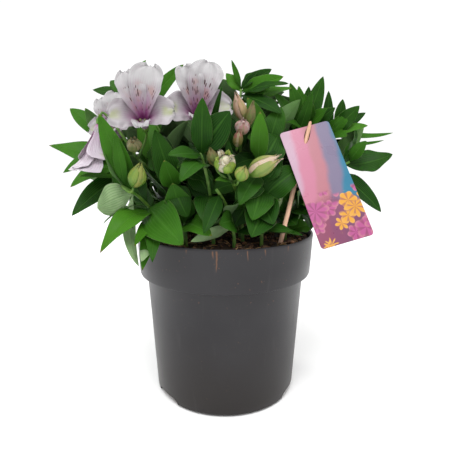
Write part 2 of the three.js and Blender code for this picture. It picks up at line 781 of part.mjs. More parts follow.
// A shorter leaf low on a shoot, which hides the stems. It never hangs far over the rim.
function lowLeaf(stem, index, random) {
  const outward = Math.atan2(stem.foot[1], stem.foot[0]) / degree;
  const around = ((index + 1) * 0.618034) % 1;
  const azimuth = outward + 130 * (2 * around - 1) + 40 * (random() - 0.5);
  const at = lowestLow + (highestLow - lowestLow) * (index + random()) / lowLeaves;
  const length = shortLow + lowSpread * random();
  const width = narrowLow + widthSpread * random();
  const arch = 0.12 + 0.2 * random();
  const roll = 40 * (random() - 0.5);
  const lift = 45 * random() - 25;
  const root = stemPoint(stem, at);
  for (const [swing, raise, share] of turns) {
    const way = pointing(azimuth + swing, lift + raise);
    const tip = root.clone().addScaledVector(way, length * share);
    if (tip.z < lowFloor || Math.hypot(tip.x, tip.y) > lowReach) continue;
    const blade = leafBlade(root, tip, width * share, pointing(outward, 60 + roll), arch);
    if (isClear(stem.name, bladeGeometry(blade, testSpare), true)) return bladeGeometry(blade);
  }
  return null;
}

function ruledLeaf(stem, index, count, random) {
  const distance = Math.hypot(stem.top[0], stem.top[1]);
  const [outward, spread] = openSide(stem, distance);
  const around = ((index + 1) * 0.618034) % 1;
  const azimuth = outward + spread * (2 * around - 1) + 16 * (random() - 0.5);
  const lowest = distance < innerShoot ? lowestInner : lowestOuter;
  const at = lowest + (1 - lowest) * (index + 0.6) / count;
  const length = shortLeaf + leafSpread * random();
  const width = narrowLeaf + widthSpread * random();
  const arch = 0.1 + 0.2 * random();
  const roll = 24 * (random() - 0.5);
  const root = stemPoint(stem, at);
  const headroom = crownHeight - crownFall * distance * distance - root.z;
  const steepest = Math.asin(Math.min(0.9, Math.max(-0.3, headroom / length))) / degree;
  const lift = Math.min(4 + 52 * at + 16 * (random() - 0.5), steepest);
  for (const [swing, raise, share] of turns) {
    const turnedTo = azimuth + swing;
    const tilt = 80 - 55 * Math.abs(Math.sin((turnedTo - outward) * degree)) + roll;
    const face = pointing(outward, tilt);
    const way = pointing(turnedTo, Math.min(lift + raise, steepest));
    const tip = root.clone().addScaledVector(way, length * share);
    const reach = Math.hypot(tip.x, tip.y);
    if (tip.z > tipCeiling - tipFall * reach * reach) continue;
    const blade = leafBlade(root, tip, width * share, face, arch);
    if (isClear(stem.name, bladeGeometry(blade, testSpare), true)) return bladeGeometry(blade);
  }
  return null;
}

// Finishes, one for each kind of piece
function finish(name, color, roughness) {
  return new THREE.MeshStandardMaterial({ name, color, roughness, metalness: 0 });
}

const finishes = {
  pot: finish("pot_plastic", 0x4b494c, 0.5),
  soil: finish("peat", 0x33231a, 1),
  stick: finish("stick_wood", 0xc99a6b, 0.75),
  label: finish("label_card", 0xb877a4, 0.35),
  leaf: finish("leaf", 0x2f6b28, 0.45),
  tepal: finish("tepal", 0xe4d8e6, 0.6),
  bud: finish("bud", 0xa9b24f, 0.55),
};

const group = new THREE.Group();

function addMesh(name, geometry, material) {
  const mesh = new THREE.Mesh(geometry, material);
  mesh.name = name;
  group.add(mesh);
  return mesh;
}

const allShoots = [...shoots, ...fillShoots(shoots)];

const pot = potGeometry();
addMesh("pot", pot, finishes.pot);
place("pot", pot);

const soil = soilGeometry(allShoots);
addMesh("soil", soil, finishes.soil);
place("soil", soil);

const stick = stickGeometry();
addMesh("label_stick", stick, finishes.stick);
place("label_stick", stick);

const label = addMesh("label", labelGeometry(), finishes.label);
label.rotation.copy(labelTurn());
label.position.set(...labelCentre);
label.updateMatrixWorld();
place("label", label.geometry.clone().applyMatrix4(label.matrixWorld));

// Each shoot's own solid, which its twigs and leaves are joined to
const bodies = new Map();
for (const stem of allShoots) {
  bodies.set(stem.name, place(stem.name, rodGeometry(stemPoints(stem), stemRadius, stemSides)));
}

function grow(name, geometry, kind) {
  bodies.set(name, bodies.get(name).add(place(name, geometry, kind)));
}

function shootNamed(name) {
  return allShoots.find((shoot) => shoot.name === name);
}

for (const bloom of blooms) {
  const { axis, base } = bloomFrame(bloom);
  grow(bloom.stalk, ovaryGeometry(base, axis));
  const below = base.clone().addScaledVector(axis, 1 - ovaryLength);
  grow(bloom.stalk, pedicelGeometry(shootNamed(bloom.stalk), below, axis, flowerKnee));
  const geometry = toGeometry(bloomSolid(bloom));
  place(bloom.name, geometry);
  addMesh(bloom.name, geometry, finishes.tepal);
}

for (const bud of buds) {
  const axis = vector(bud.axis).normalize();
  grow(bud.stalk, pedicelGeometry(shootNamed(bud.stalk), vector(bud.seat), axis, budKnee));
  const geometry = budGeometry(bud);
  place(bud.name, geometry);
  addMesh(bud.name, geometry, finishes.bud);
}

for (const stem of allShoots) {
  for (const leaf of stem.leaves) {
    const geometry = placedLeaf(stem, leaf);
    if (geometry) grow(stem.name, geometry, "leaf");
  }
}

const random = randomFrom(fillSeed + 1);
for (const stem of allShoots) {
  for (let i = 0; i < stem.more; i += 1) {
    const geometry = ruledLeaf(stem, i, stem.more, random);
    if (geometry) grow(stem.name, geometry, "leaf");
  }
}

for (const stem of allShoots) {
  const count = stem.foot[1] < lowBackLimit ? lowLeaves : 0;
  for (let i = 0; i < count; i += 1) {
    const geometry = lowLeaf(stem, i, random);
    if (geometry) grow(stem.name, geometry, "leaf");
  }
}

for (const stem of allShoots) addMesh(stem.name, toGeometry(bodies.get(stem.name)), finishes.leaf);

export default group;
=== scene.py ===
# A potted peruvian lily in its nursery pot, with a plant label on a wooden stick.
# Lengths in the lists are in millimetres; every mesh is made in metres, +Z up, front towards -Y.

import math
from collections import namedtuple
from itertools import product

import bmesh
import bpy
import numpy as np
from bpy.props import FloatProperty, FloatVectorProperty, IntProperty, PointerProperty
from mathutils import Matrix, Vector
from mathutils.bvhtree import BVHTree
from mathutils.kdtree import KDTree


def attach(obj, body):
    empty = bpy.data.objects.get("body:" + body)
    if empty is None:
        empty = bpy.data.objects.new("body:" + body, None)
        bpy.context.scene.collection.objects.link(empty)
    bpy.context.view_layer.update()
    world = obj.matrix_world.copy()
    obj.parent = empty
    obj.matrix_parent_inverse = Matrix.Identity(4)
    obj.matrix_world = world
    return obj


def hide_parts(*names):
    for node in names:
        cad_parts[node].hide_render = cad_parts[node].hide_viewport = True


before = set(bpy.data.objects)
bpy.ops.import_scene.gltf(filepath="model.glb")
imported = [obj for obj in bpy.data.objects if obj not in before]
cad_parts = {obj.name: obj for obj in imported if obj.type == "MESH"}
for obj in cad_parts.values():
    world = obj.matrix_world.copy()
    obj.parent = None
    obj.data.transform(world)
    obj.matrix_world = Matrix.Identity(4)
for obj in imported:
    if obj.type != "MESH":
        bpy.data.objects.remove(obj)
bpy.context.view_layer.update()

bl_info = {
    "name": "Potted peruvian lily",
    "version": (1, 0, 0),
    "blender": (4, 5, 0),
    "location": "3D View > Sidebar > Lily",
    "description": "Dresses the packed solids of a potted peruvian lily",
    "category": "Add Mesh",
}

BODY = "root"
MM = 0.001
WELD = 2e-6
FULL_TURN = 2 * math.pi
GOLDEN_ANGLE = 137.50776
GOLDEN_SHARE = 0.618034
UP = np.array((0.0, 0.0, 1.0))
# A direction that no axis here runs along
SIDE_HINT = (0.3, 0.9, 0.1)

# Pot and soil
POT_HEIGHT = 157
RIM_RADIUS = 85
BAND_HEIGHT = 39
BAND_FOOT = POT_HEIGHT - BAND_HEIGHT
BAND_FOOT_RADIUS = 82.9
WALL_TOP_RADIUS = 76.3
WALL_FOOT_RADIUS = 68.8
BASE_RADIUS = 66.8
POT_WALL = 2
POT_FLOOR = 3
SHARP_POT_ANGLE = 35
DRAIN_COUNT = 3
DRAIN_WIDTH = 33
DRAIN_HEIGHT = 6.2
DRAIN_DEPTH = 9
DRAIN_TURN = 6
SOIL_LEVEL = 152
SOIL_HUMP = 1.6
SOIL_SEED = 5
SOIL_SIDES = 96
SOIL_ROWS = 40
SOIL_EDGE = 77.5
SOIL_EDGE_DROP = 2.4
SOIL_ROUGHNESS = 1.7
CRUMB_SIZE = (1.2, 4.4)
CRUMB_REACH = 79.5
FIBRE_LENGTH = (4, 13)
FIBRE_RADIUS = (0.22, 0.47)
FIBRE_REACH = 77
FIBRE_ROWS = 6
FIBRE_SIDES = 5

# Stems
STEM_DEPTH = 28
STEM_RADIUS = 1.65
STEM_TAPER = 0.72
STEM_SIDES = 12
STEM_ROWS = 12
STEM_BEND = 0.6
FIT_GAP = 0.3
THROAT_DEPTH = 20
OVARY_LENGTH = 7
FLOWER_KNEE = 12
FLOWER_TWIG = 1.2
BUD_KNEE = 8
BUD_TWIG = 1.1
TWIG_TAPER = 0.8
TWIG_ROWS = 10
TWIG_SIDES = 10
NECK_LENGTH = 3

# Label and its stick
LABEL_WIDTH = 45
LABEL_HEIGHT = 107
LABEL_THICKNESS = 0.8
LABEL_BEVEL = 0.18
LABEL_CORNER = 3
LABEL_CENTRE = np.array((83.5, -54, 207.4))
LABEL_LEAN = 26.4
LABEL_ROLL = 16.4
SHARP_LABEL_ANGLE = 30
SLOT_DROP = 8.5
SLOT_LENGTH = 16
SLOT_WIDTH = 4.6
STICK_RADIUS = 2
STICK_TIP_RADIUS = 1
STICK_TIP_LENGTH = 24
STICK_ABOVE = 12.5
STICK_FOOT = (48, -47)
STICK_DEPTH = 50
STICK_SIDES = 28

# Stage, in metres
CAMERA_PLACE = (0, -0.401, 0.235)
CAMERA_PITCH = 0.182
AIM = (0, 0, 0.15)
KEY_PLACE = (-0.12, -1.0, 1.85)
KEY_SIZE = (1.0, 1.0)
SIDE_PLACE = (1.2, 0.9, 0.5)
SIDE_SIZE = (0.5, 1.4)
RIGHT_SHARE = 0.1
FLOOR_HEIGHT = -0.0005
FLOOR_STEPS = 9

# The side that the upper face of a leaf is turned to
FACINGS = {
    "up": (0, 0, 1),
    "front": (0, -1, 0.25),
    "frontUp": (0, -0.7, 0.7),
    "back": (0, 1, 0.15),
    "backTurned": (-0.55, 0.8, 0.2),
    "left": (-1, -0.3, 0.3),
    "leftUp": (-0.6, -0.3, 0.8),
}

# A leaf of a shoot is the place of its root along the stem, its tip, its width, the side that it
# faces and its arch. "more" is the number of leaves that follow the rule for the hidden sides.
Shoot = namedtuple("Shoot", "name foot top more leaves")
SHOOTS = [
    Shoot("shoot_left_low", (-58, -32), (-82, -72, 206), 0, (
        (0.85, (-91, -93, 260), 17, "front", 0.05),
        (0.96, (-80, -92, 246), 9, "front", 0.05),
        (0.96, (-91, -84, 232), 7, "left", 0.1),
        (0.85, (-96, -92, 191), 24, "back", 0.2),
        (0.55, (-95, -84, 177), 10, "leftUp", 0.25),
        (0.42, (-96, -92, 156), 19, "frontUp", 0.52),
        (0.4, (-68, -97, 163), 10, "front", 0.1),
        (0.36, (-63, -98, 151), 12, "back", 0.05),
        (0.56, (-31, -99, 164), 31, "front", 0.22),
        (0.12, (-64, -92, 142), 15, "frontUp", 0.5),
        (0.14, (-55, -97, 150), 16, "frontUp", 0.45),
        (0.85, (-66, -94, 146), 11, "backTurned", 0.35),
    )),
    Shoot("shoot_left_mid", (-64, -4), (-117, -5, 248), 3, (
        (0.62, (-161, -15, 238), 22, "frontUp", 0.1),
        (0.8, (-142, -35, 214), 17, "frontUp", 0.2),
        (0.7, (-134, -42, 202), 19, "frontUp", 0.25),
        (0.6, (-127, -62, 180), 23, "frontUp", 0.2),
        (0.55, (-123, -52, 212), 13, "frontUp", 0.1),
        (0.95, (-145, 0, 272), 17, "frontUp", 0.1),
    )),
    Shoot("shoot_left_top", (-34, 10), (-95, 5, 289), 6, (
        (0.9, (-126, 10, 290), 15, "frontUp", 0.15),
        (1.0, (-73, 5, 316), 7, "front", 0.1),
        (0.95, (-111, 20, 300), 16, "frontUp", 0.1),
        (0.85, (-38, 0, 311), 14, "front", 0.08),
    )),
    Shoot("shoot_centre_left", (-34, -48), (-51, -55, 218), 2, (
        (0.25, (-42, -80, 208), 24, "front", 0.15),
        (0.6, (-56, -62, 250), 20, "front", 0.05),
        (0.7, (-48, -70, 226), 16, "front", 0.1),
        (0.75, (-30, -76, 180), 20, "front", 0.3),
        (0.5, (-71, -55, 226), 15, "left", 0.1),
    )),
    Shoot("shoot_centre", (-10, -50), (-20, -60, 232), 2, (
        (0.95, (-17, -76, 273), 16, "front", 0.1),
        (1.0, (4, -66, 264), 24, "front", 0.15),
        (0.98, (-43, -84, 230), 15, "frontUp", 0.1),
        (0.9, (-37, -78, 220), 12, "up", 0.3),
        (0.8, (-34, -88, 210), 18, "frontUp", 0.6),
        (0.5, (-15, -88, 178), 22, "front", 0.3),
    )),
    Shoot("shoot_centre_low", (8, -56), (-7, -70, 203), 0, (
        (0.9, (-16, -90, 172), 12, "front", 0.15),
        (0.3, (-27, -82, 163), 10, "back", 0.1),
        (0.5, (8, -88, 193), 13, "frontUp", 0.2),
        (0.4, (-5, -78, 176), 20, "front", 0.5),
    )),
    Shoot("shoot_front_right", (32, -46), (27, -55, 226), 0, (
        (0.95, (27, -72, 263), 14, "front", 0.1),
        (1.0, (29, -66, 246), 12, "frontUp", 0.1),
        (0.6, (21, -84, 180), 24, "front", 0.3),
        (0.8, (11, -92, 191), 17, "frontUp", 0.3),
        (0.35, (20, -90, 168), 26, "front", 0.3),
        (0.45, (38, -80, 176), 22, "front", 0.3),
        (0.75, (3, -80, 195), 20, "front", 0.25),
        (0.7, (42, -50, 234), 14, "frontUp", 0.2),
    )),
    Shoot("shoot_top", (12, 12), (15, 5, 290), 3, (
        (1.0, (30, 2, 306), 11, "frontUp", 0.05),
        (1.0, (43, 0, 307), 12, "front", 0.1),
        (0.98, (53, -8, 299), 14, "front", 0.1),
        (0.96, (57, -14, 292), 13, "frontUp", 0.15),
        (0.95, (50, -25, 265), 17, "frontUp", 0.15),
        (1.0, (6, 5, 316), 5, "front", 0.1),
        (0.98, (1, 10, 305), 11, "front", 0.1),
        (0.9, (38, -5, 288), 12, "front", 0.05),
        (0.9, (62, -2, 290), 14, "frontUp", 0.1),
    )),
    Shoot("shoot_right_top", (40, 4), (83, 0, 260), 3, (
        (0.9, (91, 2, 301), 15, "front", 0.03),
        (0.98, (71, -10, 284), 11, "front", 0.1),
        (0.95, (93, -12, 271), 14, "frontUp", 0.1),
        (0.85, (46, 5, 287), 14, "frontUp", 0.2),
        (0.9, (54, -20, 258), 9, "frontUp", 0.2),
        (0.9, (69, 5, 293), 12, "front", 0.05),
        (0.8, (79, -12, 286), 10, "front", 0.05),
        (0.9, (78, 2, 292), 12, "front", 0.05),
        (0.93, (101, -8, 272), 13, "front", 0.05),
        (0.9, (60, 0, 295), 13, "front", 0.1),
    )),
    Shoot("shoot_right", (58, 12), (107, 5, 254), 3, (
        (1.0, (111, 5, 281), 10, "front", 0.05),
        (0.97, (124, -5, 274), 14, "front", 0.1),
        (0.95, (135, 10, 269), 10, "front", 0.1),
        (0.9, (112, -12, 246), 16, "frontUp", 0.2),
        (0.8, (98, -14, 252), 16, "frontUp", 0.2),
        (0.9, (117, -2, 268), 10, "front", 0.05),
        (0.85, (103, -16, 264), 12, "frontUp", 0.1),
        (0.8, (92, -4, 270), 12, "front", 0.05),
        (0.95, (133, -5, 256), 12, "frontUp", 0.1),
        (0.98, (161, 5, 250), 7, "frontUp", -0.2),
        (0.9, (151, 0, 243), 6, "frontUp", -0.25),
        (0.9, (98, 8, 289), 10, "front", 0.05),
    )),
    Shoot("shoot_right_far", (68, -6), (116, -10, 223), 2, (
        (0.95, (155, -12, 230), 24, "frontUp", -0.15),
        (0.85, (145, -20, 177), 19, "frontUp", 0.15),
        (1.0, (129, -15, 242), 12, "frontUp", 0.2),
    )),
    Shoot("shoot_right_low", (56, -22), (68, -25, 198), 0, (
        (0.5, (69, -50, 180), 17, "frontUp", 0.2),
        (0.9, (49, -35, 234), 13, "left", 0.2),
        (0.7, (43, -60, 187), 14, "back", 0.2),
        (0.35, (62, -66, 170), 20, "front", 0.3),
        (0.6, (46, -58, 200), 20, "front", 0.2),
        (0.8, (60, -58, 205), 18, "front", 0.2),
    )),
    Shoot("shoot_mid_right", (34, -20), (40, -25, 243), 2, (
        (0.95, (50, -22, 272), 18, "frontUp", 0.2),
        (0.9, (20, -15, 280), 16, "front", 0.1),
        (0.8, (57, -30, 242), 16, "frontUp", 0.2),
        (0.6, (46, -42, 218), 20, "front", 0.2),
        (0.45, (22, -38, 212), 20, "front", 0.2),
    )),
    Shoot("stalk_left", (-40, -12), (-76, -36, 226), 2, (
        (0.6, (-77, -20, 234), 15, "front", 0.1),
    )),
    Shoot("stalk_middle", (-16, -8), (-18, -22, 238), 3, (
        (0.9, (-2, -62, 283), 6, "front", 0.05),
        (0.7, (-34, 10, 262), 16, "front", 0.1),
    )),
    Shoot("stalk_buds_front", (16, -34), (6, -62, 208), 1, (
        (0.95, (-8, -84, 211), 7, "frontUp", 0.2),
        (0.9, (1, -70, 245), 7, "front", 0.1),
    )),
    Shoot("stalk_buds_back", (14, -12), (14, -28, 248), 1, (
        (0.8, (24, -10, 276), 9, "front", 0.1),
    )),
]

# Open flowers
Bloom = namedtuple("Bloom", "name stalk petals size spread turn throat axis")
BLOOMS = [
    Bloom("bloom_left", "stalk_left", 5, 0.78, 1, 10, (-99, -24, 255), (-0.2, -0.8, 0.55)),
    Bloom("bloom_nodding", "stalk_left", 4, 1.05, 0.46, 0, (-107, -55, 234), (-0.15, -0.25, -0.95)),
    Bloom("bloom_middle", "stalk_left", 6, 1, 1, 1, (-66, -62, 262), (0.05, -0.88, 0.45)),
    Bloom("bloom_right", "stalk_middle", 6, 1.06, 1, -1, (-23, -40, 268), (0.12, -0.84, 0.5)),
]

# Tepals of one flower. Its last number is 1 with dark dashes and -1 with a yellow-green patch.
Tepal = namedtuple("Tepal", "turn reach rise fall width broadest print")
TEPALS = [
    Tepal(168, 25, 26, 9, 25, 0.74, -1),
    Tepal(18, 27, 26, 9, 25, 0.74, -1),
    Tepal(74, 31.5, 40, 0, 27, 0.78, 1),
    Tepal(112, 29, 38, 0, 22, 0.76, 1),
    Tepal(270, 14, 28, 0, 15, 0.66, 0.2),
    Tepal(97, 33, 30, 0, 22, 0.8, -0.4),
]

# Buds: how far the tips stand open is a share of the radius, and "tint" is a finish below
Bud = namedtuple("Bud", "name stalk length radius seat axis openness tint")
BUDS = [
    Bud("bud_yellow", "shoot_left_low", 19, 6.6, (-71, -78, 206), (0.4, -0.25, 1), 0.1, "yellow"),
    Bud("bud_brown", "stalk_left", 12, 6, (-76, -47, 234), (0.1, -0.6, 0.6), 0.5, "brown"),
    Bud("bud_tan", "stalk_buds_back", 24, 5.4, (17, -30, 258), (-0.35, -0.15, 1), 0.15, "tan"),
    Bud("bud_olive", "stalk_buds_back", 20, 4, (20, -34, 254), (0.2, -0.1, 1), 0.1, "olive"),
    Bud("bud_pink", "stalk_buds_back", 14, 6, (14, -40, 248), (0.1, -0.7, 0.75), 0.35, "pink"),
    Bud("bud_wilted", "stalk_buds_back", 16, 4, (10, -48, 237), (0.1, -0.6, 0.8), 0.3, "wilted"),
    Bud("bud_olive_small", "stalk_buds_front", 14, 4.6, (-8, -62, 222), (-0.3, -0.3, 1), 0.15, "olive"),
    Bud("bud_opening", "stalk_buds_front", 17, 8, (1, -66, 220), (-0.08, -0.86, 0.5), 0.8, "opening"),
    Bud("bud_cream", "stalk_buds_front", 27, 7.2, (19, -70, 215), (0.95, -0.2, 0.55), 0.36, "cream"),
    Bud("bud_green", "stalk_buds_front", 13, 5.4, (11, -76, 211), (0.3, -0.5, 0.75), 0.15, "green"),
]

# Shoots that fill the middle, the sides and the back by a rule
FILL_SEED = 20
FILL_COUNT = 20
FILL_REACH = 67
FILL_TURN = 40
FILL_FRONT_LIMIT = -14
FILL_TOP_HEIGHT = 268
FILL_TOP_FALL = 0.0021
FILL_TOP_DROP = 14
FILL_SPREAD = 1.78
FILL_LEAVES = 6
FOOT_SPACING = 11

# Leaves that follow a rule. Pairs are the two ends of a range, and angles are in degrees.
RULED_LENGTH = (52, 72)
RULED_WIDTH = (18, 25)
RULED_ARCH = (0.1, 0.3)
RULED_SWAY = 16
RULED_ROLL = 24
RULED_LIFT = (4, 56)
RULED_FACE = (80, 25)
RULED_START = 0.6
LIFT_SINES = (-0.3, 0.9)
INNER_SHOOT = 60
LOWEST_INNER = 0.5
LOWEST_OUTER = 0.02
CROWN_HEIGHT = 303
CROWN_FALL = 0.0014
BEHIND_REACH = 80
BEHIND_NARROW = 0.7
BEHIND_FAN = 80
OUTER_FAN = 110
INNER_FAN = 180

# Shifts and turns that were tried in this order until a leaf stood clear of the others
DEPTH_SHIFTS = (6, 12, 18)
SIDE_SHIFTS = (5, 9)
LENGTH_SHARES = (1, 0.72)
RISES = (0, 12, -12, 24)
SWINGS = (0, 16, -16, 32, -32, 50, -50)
SAME_POINT = 0.03

# Low leaves of the shoots at the front and the sides
LOW_LEAVES = 3
LOW_BACK_LIMIT = 14
LOW_ROOTS = (0.1, 0.55)
LOW_LENGTH = (38, 52)
LOW_WIDTH = (17, 24)
LOW_ARCH = (0.12, 0.32)
LOW_LIFT = (-25, 20)
LOW_FAN = 130
LOW_SWAY = 40
LOW_FACE = 60
LOW_ROLL = 40

# Small leaves inside the crown, in the gaps between the others
GAP_SEED = 77
GAP_LEAVES = 20
GAP_TRIES = 30
GAP_ROOTS = (0.08, 0.92)
GAP_FAN = (-120, 120)
GAP_LENGTH = (32, 48)
GAP_LIFT = (-25, 70)
GAP_FACE = (30, 65)
GAP_WIDTH = (0.46, 0.58)
GAP_ARCH = (0.1, 0.3)
GAP_BOTTOM = 158
GAP_TOP = 286
GAP_TOP_FALL = 0.0018
GAP_FRONT = -66
GAP_FRONT_SLOPE = 0.35
GAP_FRONT_REACH = 34
GAP_BACK_REACH = 68
GAP_FLARE = 0.95


def unit(vector):
    vector = np.asarray(vector, float)
    return vector / np.linalg.norm(vector)


def between(limits, share):
    """The value at a share of the way from the first limit to the second."""
    return limits[0] + (limits[1] - limits[0]) * share


def smooth_step(value, low, high):
    """Runs smoothly from 0 to 1 while the value runs from low to high."""
    t = np.clip((value - low) / (high - low), 0, 1)
    return t * t * (3 - 2 * t)


def random_from(seed):
    """Even random numbers from a seed, the same as the solids were placed with."""
    mask = 0xFFFFFFFF
    state = seed & mask
    while True:
        state = (state + 0x6D2B79F5) & mask
        t = ((state ^ (state >> 15)) * (state | 1)) & mask
        t = (t ^ (t + (((t ^ (t >> 7)) * (t | 61)) & mask))) & mask
        yield (t ^ (t >> 14)) / 4294967296


def sway(angle, random):
    """A random angle, with half of the given one to each side."""
    return angle * (next(random) - 0.5)


def even_place(index):
    """Places from -1 to 1 that stay well apart, however many there are."""
    return 2 * (((index + 1) * GOLDEN_SHARE) % 1) - 1


def bezier(start, middle, end, t):
    """Points of a quadratic curve; t is a number or a column of numbers."""
    s = 1 - t
    return s * s * start + 2 * s * t * middle + t * t * end


def bezier_tangent(start, middle, end, t):
    """Unit directions along a quadratic curve."""
    along = (middle - start) * (1 - t) + (end - middle) * t
    return along / np.linalg.norm(along, axis=-1, keepdims=True)


def curve_points(start, middle, end, count):
    return bezier(start, middle, end, np.linspace(0, 1, count)[:, None])


def sides_of(axis):
    """Two directions that stand square to an axis and to each other."""
    side = unit(np.cross(axis, SIDE_HINT))
    return side, np.cross(axis, side)


class Skin:
    """Collects the surfaces of one piece in millimetres and turns them into an object."""

    def __init__(self):
        self.points = []
        self.faces = []
        self.places = []
        self.finishes = []
        self.marks = []
        self.count = 0

    def grid(self, points, across, along, finish=0, marks=(0.5, 0, 0), ring=False):
        """Rows of points joined to quads. Across and along run over the surface, from 0 to 1."""
        rows, columns = points.shape[:2]
        spans = columns if ring else columns - 1
        i, j = np.meshgrid(np.arange(rows - 1), np.arange(spans), indexing="ij")
        k = (j + 1) % columns
        corners = [i * columns + j, i * columns + k, (i + 1) * columns + k, (i + 1) * columns + j]
        self.faces.append(np.stack(corners, -1).reshape(-1, 4) + self.count)
        places = [(across[j], along[i]), (across[j + 1], along[i]),
                  (across[j + 1], along[i + 1]), (across[j], along[i + 1])]
        self.places.append(np.stack([np.stack(place, -1) for place in places], 2).reshape(-1, 2))
        number = (rows - 1) * spans
        self.finishes.append(np.full(number, finish))
        self.marks.append(np.tile(marks, (number, 1)))
        self.points.append(points.reshape(-1, 3))
        self.count += rows * columns

    def tube(self, points, finish=0, marks=(0.5, 0, 0)):
        """Rings of points joined to a closed surface round a line."""
        rows, columns = points.shape[:2]
        across, along = np.linspace(0, 1, columns + 1), np.linspace(0, 1, rows)
        self.grid(points, across, along, finish, marks, ring=True)

    def two_faces(self, upper, under, shares, along, tone, printed):
        """The upper and the under face of a blade; the under one is marked as such."""
        places = (shares + 1) / 2
        self.grid(upper, places, along, marks=(tone, 0, printed))
        self.grid(under[:, ::-1], places[::-1], along, marks=(tone, 1, printed))

    def build(self, name, materials):
        """The object of all the surfaces, with doubled points welded and faces turned outwards."""
        mesh = bpy.data.meshes.new(name)
        points = np.concatenate(self.points) * MM
        mesh.from_pydata(points.tolist(), [], np.concatenate(self.faces).tolist())
        layer = mesh.uv_layers.new(name="UVMap")
        layer.data.foreach_set("uv", np.concatenate(self.places).ravel())
        mesh.polygons.foreach_set("material_index", np.concatenate(self.finishes))
        marks = np.concatenate(self.marks)
        for column, label in enumerate(("tone", "under", "print")):
            attribute = mesh.attributes.new(label, "FLOAT", "FACE")
            attribute.data.foreach_set("value", marks[:, column])
        work = bmesh.new()
        work.from_mesh(mesh)
        bmesh.ops.remove_doubles(work, verts=work.verts, dist=WELD)
        bmesh.ops.recalc_face_normals(work, faces=work.faces)
        work.to_mesh(mesh)
        work.free()
        mesh.shade_smooth()
        for material in materials:
            mesh.materials.append(material)
        piece = bpy.data.objects.new(name, mesh)
        bpy.context.scene.collection.objects.link(piece)
        return piece


def settle(piece, slot, *nodes):
    """The piece stands for these nodes, which it hides, and hangs from the body; the slot is not used.
    """
    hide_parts(*nodes)
    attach(piece, BODY)


def rod(skin, middles, radii, sides, finish=0, marks=(0.5, 0, 0)):
    """A round rod through a row of points, closed at both ends."""
    side = np.array((1.0, 0.0, 0.0))
    angles = np.linspace(0, FULL_TURN, sides, endpoint=False)[:, None]
    rows = [np.tile(middles[0], (sides, 1))]
    for i, (centre, radius) in enumerate(zip(middles, radii)):
        along = unit(middles[min(i + 1, len(middles) - 1)] - middles[max(i - 1, 0)])
        side = unit(side - along * side.dot(along))
        other = np.cross(along, side)
        rows.append(centre + radius * (np.cos(angles) * side + np.sin(angles) * other))
    rows.append(np.tile(middles[-1], (sides, 1)))
    skin.tube(np.array(rows), finish, marks)


def turned(skin, profile, sides, foot, axis, finish=0, marks=(0.5, 0, 0), swell=None):
    """A body of revolution. Swell, where given, scales the radius by the angle."""
    axis = unit(axis)
    side, other = sides_of(axis)
    angles = np.linspace(0, FULL_TURN, sides, endpoint=False)
    scale = np.ones(sides) if swell is None else swell(angles)
    out = (np.cos(angles) * scale)[:, None] * side + (np.sin(angles) * scale)[:, None] * other
    profile = np.asarray(profile, float)
    points = profile[:, 0, None, None] * out + profile[:, 1, None, None] * axis
    skin.tube(points + np.asarray(foot, float), finish, marks)


def sheet(skin, middle, normals, thickness, shares, along, tone, printed):
    """A thin closed blade about rows of points, with an upper and an under face."""
    rows = np.arange(len(middle))
    ends = np.minimum(1, 0.5 * np.minimum(rows, rows[::-1]))
    depth = 0.5 * thickness * (1 - np.abs(shares) ** 4)[None, :, None] * normals[:, None]
    depth = depth * ends[:, None, None]
    skin.two_faces(middle + depth, middle - depth, shares, along, tone, printed)


# Stems and leaves. "pale" is how much of the pale underside shows.
Leaf = namedtuple("Leaf", "root tip width face arch pale", defaults=(0.3,))
LEAF_SEED = 300
LEAF_ROWS = 22
LEAF_SHARES = np.array((-1, -0.93, -0.66, -0.36, -0.1, 0, 0.1, 0.36, 0.66, 0.93, 1))
LEAF_THICKNESS = 0.5
LEAF_STALK = 0.7
LEAF_FOLD = (0.11, 0.23)
LEAF_WAVES = (1.2, 2.2)
LEAF_WAVE_DEPTH = (-0.102, 0.238)
LEAF_WIDEN = 1.08
ROOT_SINK = 0.8
DARK_WIDTH = 20
# Scales of a small gap leaf's five chances; the last one lowers its tone, painted shade inside the
# crown.
GAP_SHADE_CHANCES = np.array((1, 1, 1, 1, 0.6))
PALE_SIDES = ("back", "backTurned")


def at_foot(stem, height):
    """A point above a stem's foot, or below it, measured from the soil."""
    return np.array((*stem.foot, SOIL_LEVEL + height), float)


def stem_point(stem, t):
    """Middle line of a shoot above the soil; t is a number or a column of numbers."""
    middle = at_foot(stem, STEM_BEND * (stem.top[2] - SOIL_LEVEL))
    return bezier(at_foot(stem, 0), middle, np.array(stem.top, float), t)


def add_stem(skin, stem):
    """A stem that stands in the peat and grows thinner towards its top."""
    above = stem_point(stem, np.linspace(0, 1, STEM_ROWS)[:, None])
    middles = np.vstack([at_foot(stem, -STEM_DEPTH), at_foot(stem, -2), above])
    radii = STEM_RADIUS * np.linspace(1, STEM_TAPER, STEM_ROWS + 1)
    tone = stem.more / FILL_LEAVES
    rod(skin, middles, [STEM_RADIUS, *radii], STEM_SIDES, finish=1, marks=(tone, 0, 0))


def leaf_breadth(u):
    """Breadth of a leaf along its length, as a share of its width."""
    return (np.sin(math.pi * u ** 0.86) * np.minimum(1, 0.25 + 2.6 * u)).clip(0) ** 0.78


def leaf_line(leaf):
    """Middle of a leaf's arch, and the side that its width runs to."""
    chord = unit(leaf.tip - leaf.root)
    normal = unit(leaf.face - chord * leaf.face.dot(chord))
    length = np.linalg.norm(leaf.tip - leaf.root)
    middle = (leaf.root + leaf.tip) / 2 + normal * leaf.arch * length
    return middle, unit(np.cross(chord, normal))


